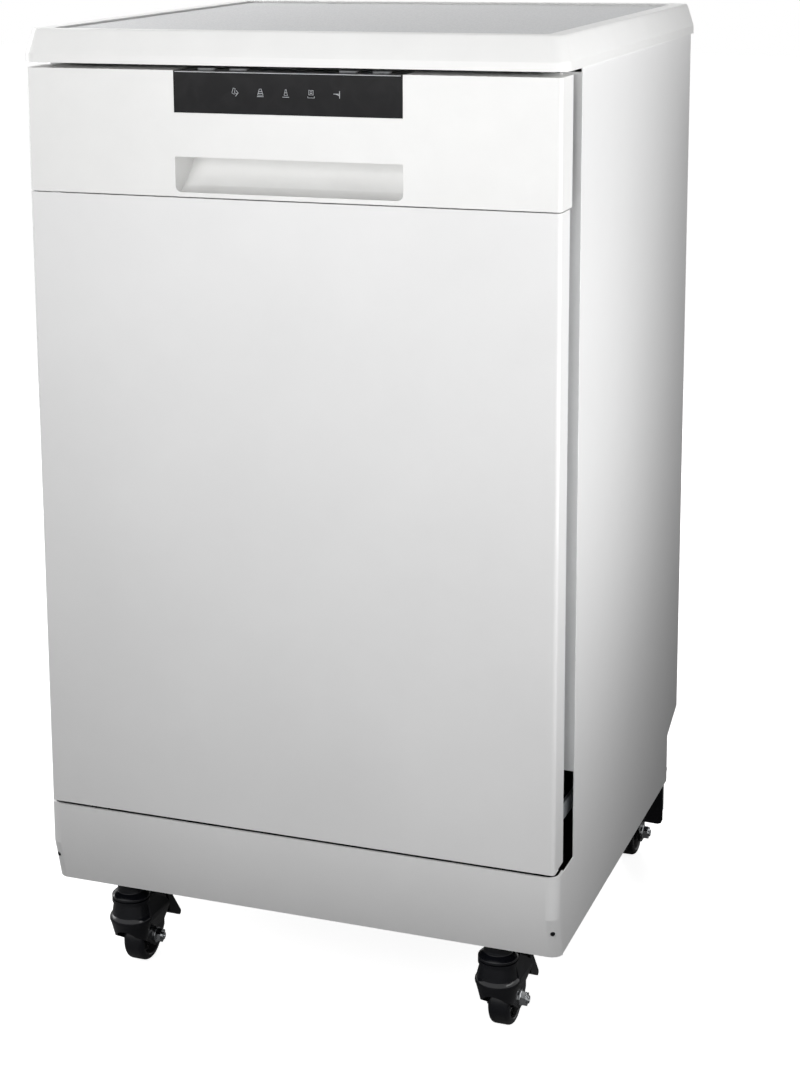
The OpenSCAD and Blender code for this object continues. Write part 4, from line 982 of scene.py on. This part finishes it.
@dataclass(frozen=True)
class Studio:
    """The camera, the lamps, the world and the pale floor."""

    eye: Point = (0.7688, -2.1479, 1.096)
    yaw: float = math.radians(21.761)
    pitch: float = math.radians(11.363)
    roll: float = math.radians(-0.735)
    focal_px: float = 2242.0
    image_px: tuple[int, int] = (800, 1092)
    centre_px: tuple[float, float] = (302.0, 334.3)
    sensor: float = 36.0
    floor_half: float = 12.0
    fill: float = 0.03
    floor_glow: float = 0.9
    glow_near: float = 0.7
    glow_far: float = 1.6
    far_end: float = 100.0
    lamps: tuple[Softbox, ...] = (
        Softbox("front_softbox", (0.02, -1.55, 1.0), (0.5, -0.6, 1.2), 1.2, 0.8, 18.7, False),
        Softbox("side_softbox", (0.9, -0.29, 0.77), (0.4, -0.5, 0.92), 0.8, 0.8, 7.35),
        Softbox("top_softbox", (-1.0, 0.31, 1.9), (-0.3, -0.3, 1.0), 1.4, 1.4, 12.0),
        Softbox("rear_softbox", (-0.7, 2.2, 1.3), (0.0, 0.2, 0.6), 1.6, 1.2, 40.0, False),
        Softbox("left_softbox", (-2.3, 0.1, 1.2), (-0.26, 0.0, 0.6), 1.2, 1.2, 20.0),
    )

    def set_up(self) -> None:
        """Puts the camera, lamps, world and floor in the scene."""
        self.camera()
        for lamp in self.lamps:
            lamp.hang()
        self.world()
        self.floor()
        bpy.context.scene.view_settings.view_transform = "Standard"

    def camera(self) -> None:
        """Adds the camera; its shift puts the lens's axis at centre_px instead of the middle."""
        wide, high = self.image_px
        data = bpy.data.cameras.new("view")
        data.sensor_width = self.sensor
        data.sensor_fit = "AUTO"
        data.lens = self.focal_px / high * self.sensor
        data.shift_x = (wide / 2 - self.centre_px[0]) / high
        data.shift_y = -(high / 2 - self.centre_px[1]) / high
        data.clip_end = self.far_end
        cam = bpy.data.objects.new("view", data)
        turn = (Matrix.Rotation(self.yaw, 4, "Z")
                @ Matrix.Rotation(math.pi / 2 - self.pitch, 4, "X")
                @ Matrix.Rotation(self.roll, 4, "Z"))
        cam.matrix_world = Matrix.Translation(self.eye) @ turn
        bpy.context.scene.collection.objects.link(cam)
        bpy.context.scene.camera = cam

    @staticmethod
    def seen(tree: Tree, *kinds: str) -> Socket:
        """Returns 1 for the kinds of ray that are to show the background as it is.

        Args:
            tree: the node tree of the world or the floor.
            kinds: the Light Path outputs to join.

        Returns:
            The joined output.
        """
        path = add_node(tree, "ShaderNodeLightPath")
        joined = path.outputs[kinds[0]]
        for kind in kinds[1:]:
            joined = add_node(tree, "ShaderNodeMath", {0: joined, 1: path.outputs[kind]},
                              operation="MAXIMUM").outputs[0]
        return joined

    def world(self) -> None:
        """Makes the backdrop white to look at and in reflections, and a dim fill as a lamp."""
        world = bpy.data.worlds.new("studio")
        bpy.context.scene.world = world
        world.use_nodes = True
        tree = world.node_tree
        tree.nodes.clear()
        white = linear("#ffffff")
        dim = add_node(tree, "ShaderNodeBackground", {"Color": white, "Strength": self.fill})
        backdrop = add_node(tree, "ShaderNodeBackground", {"Color": white, "Strength": 1.0})
        seen = self.seen(tree, "Is Camera Ray", "Is Glossy Ray", "Is Transmission Ray")
        both = add_node(tree, "ShaderNodeMixShader", {0: seen, 1: dim.outputs[0],
                                                      2: backdrop.outputs[0]})
        add_node(tree, "ShaderNodeOutputWorld", {"Surface": both.outputs[0]})

    def floor(self) -> None:
        """Lays a pale floor that keeps the object's shadow and reads white around it."""
        bm = bmesh.new()
        bmesh.ops.create_grid(bm, x_segments=1, y_segments=1, size=self.floor_half)
        floor = to_object(bm, "studio_floor")
        made = bpy.data.materials.new("pale_floor")
        made.use_nodes = True
        tree = made.node_tree
        tree.nodes.clear()
        place = add_node(tree, "ShaderNodeTexCoord").outputs["Object"]
        away = add_node(tree, "ShaderNodeVectorMath", {0: place}, operation="LENGTH")
        level = add_node(tree, "ShaderNodeMapRange", {
            "Value": away.outputs["Value"], "From Min": self.glow_near, "From Max": self.glow_far,
            "To Min": self.floor_glow, "To Max": 1.0})
        glow = add_node(tree, "ShaderNodeEmission", {"Color": linear("#ffffff"),
                                                     "Strength": level.outputs[0]})
        lit = add_node(tree, "ShaderNodeBsdfDiffuse", {"Color": linear("#bcbcbc")})
        shown = add_node(tree, "ShaderNodeAddShader", {0: glow.outputs[0], 1: lit.outputs[0]})
        dim = add_node(tree, "ShaderNodeBsdfDiffuse", {"Color": linear("#7c7c7c")})
        seen = self.seen(tree, "Is Camera Ray", "Is Transmission Ray")
        both = add_node(tree, "ShaderNodeMixShader", {0: seen, 1: dim.outputs[0],
                                                      2: shown.outputs[0]})
        add_node(tree, "ShaderNodeOutputMaterial", {"Surface": both.outputs[0]})
        floor.data.materials.append(made)


def main() -> None:
    """Builds the studio and every sub-assembly in order."""
    logging.basicConfig(level=logging.INFO, format="%(name)s %(message)s")
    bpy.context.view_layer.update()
    Studio().set_up()
    for assembly in (Cabinet(), Door(), WashBay(), Racks(), Casters()):
        assembly.build()


if __name__ == "__main__":
    main()
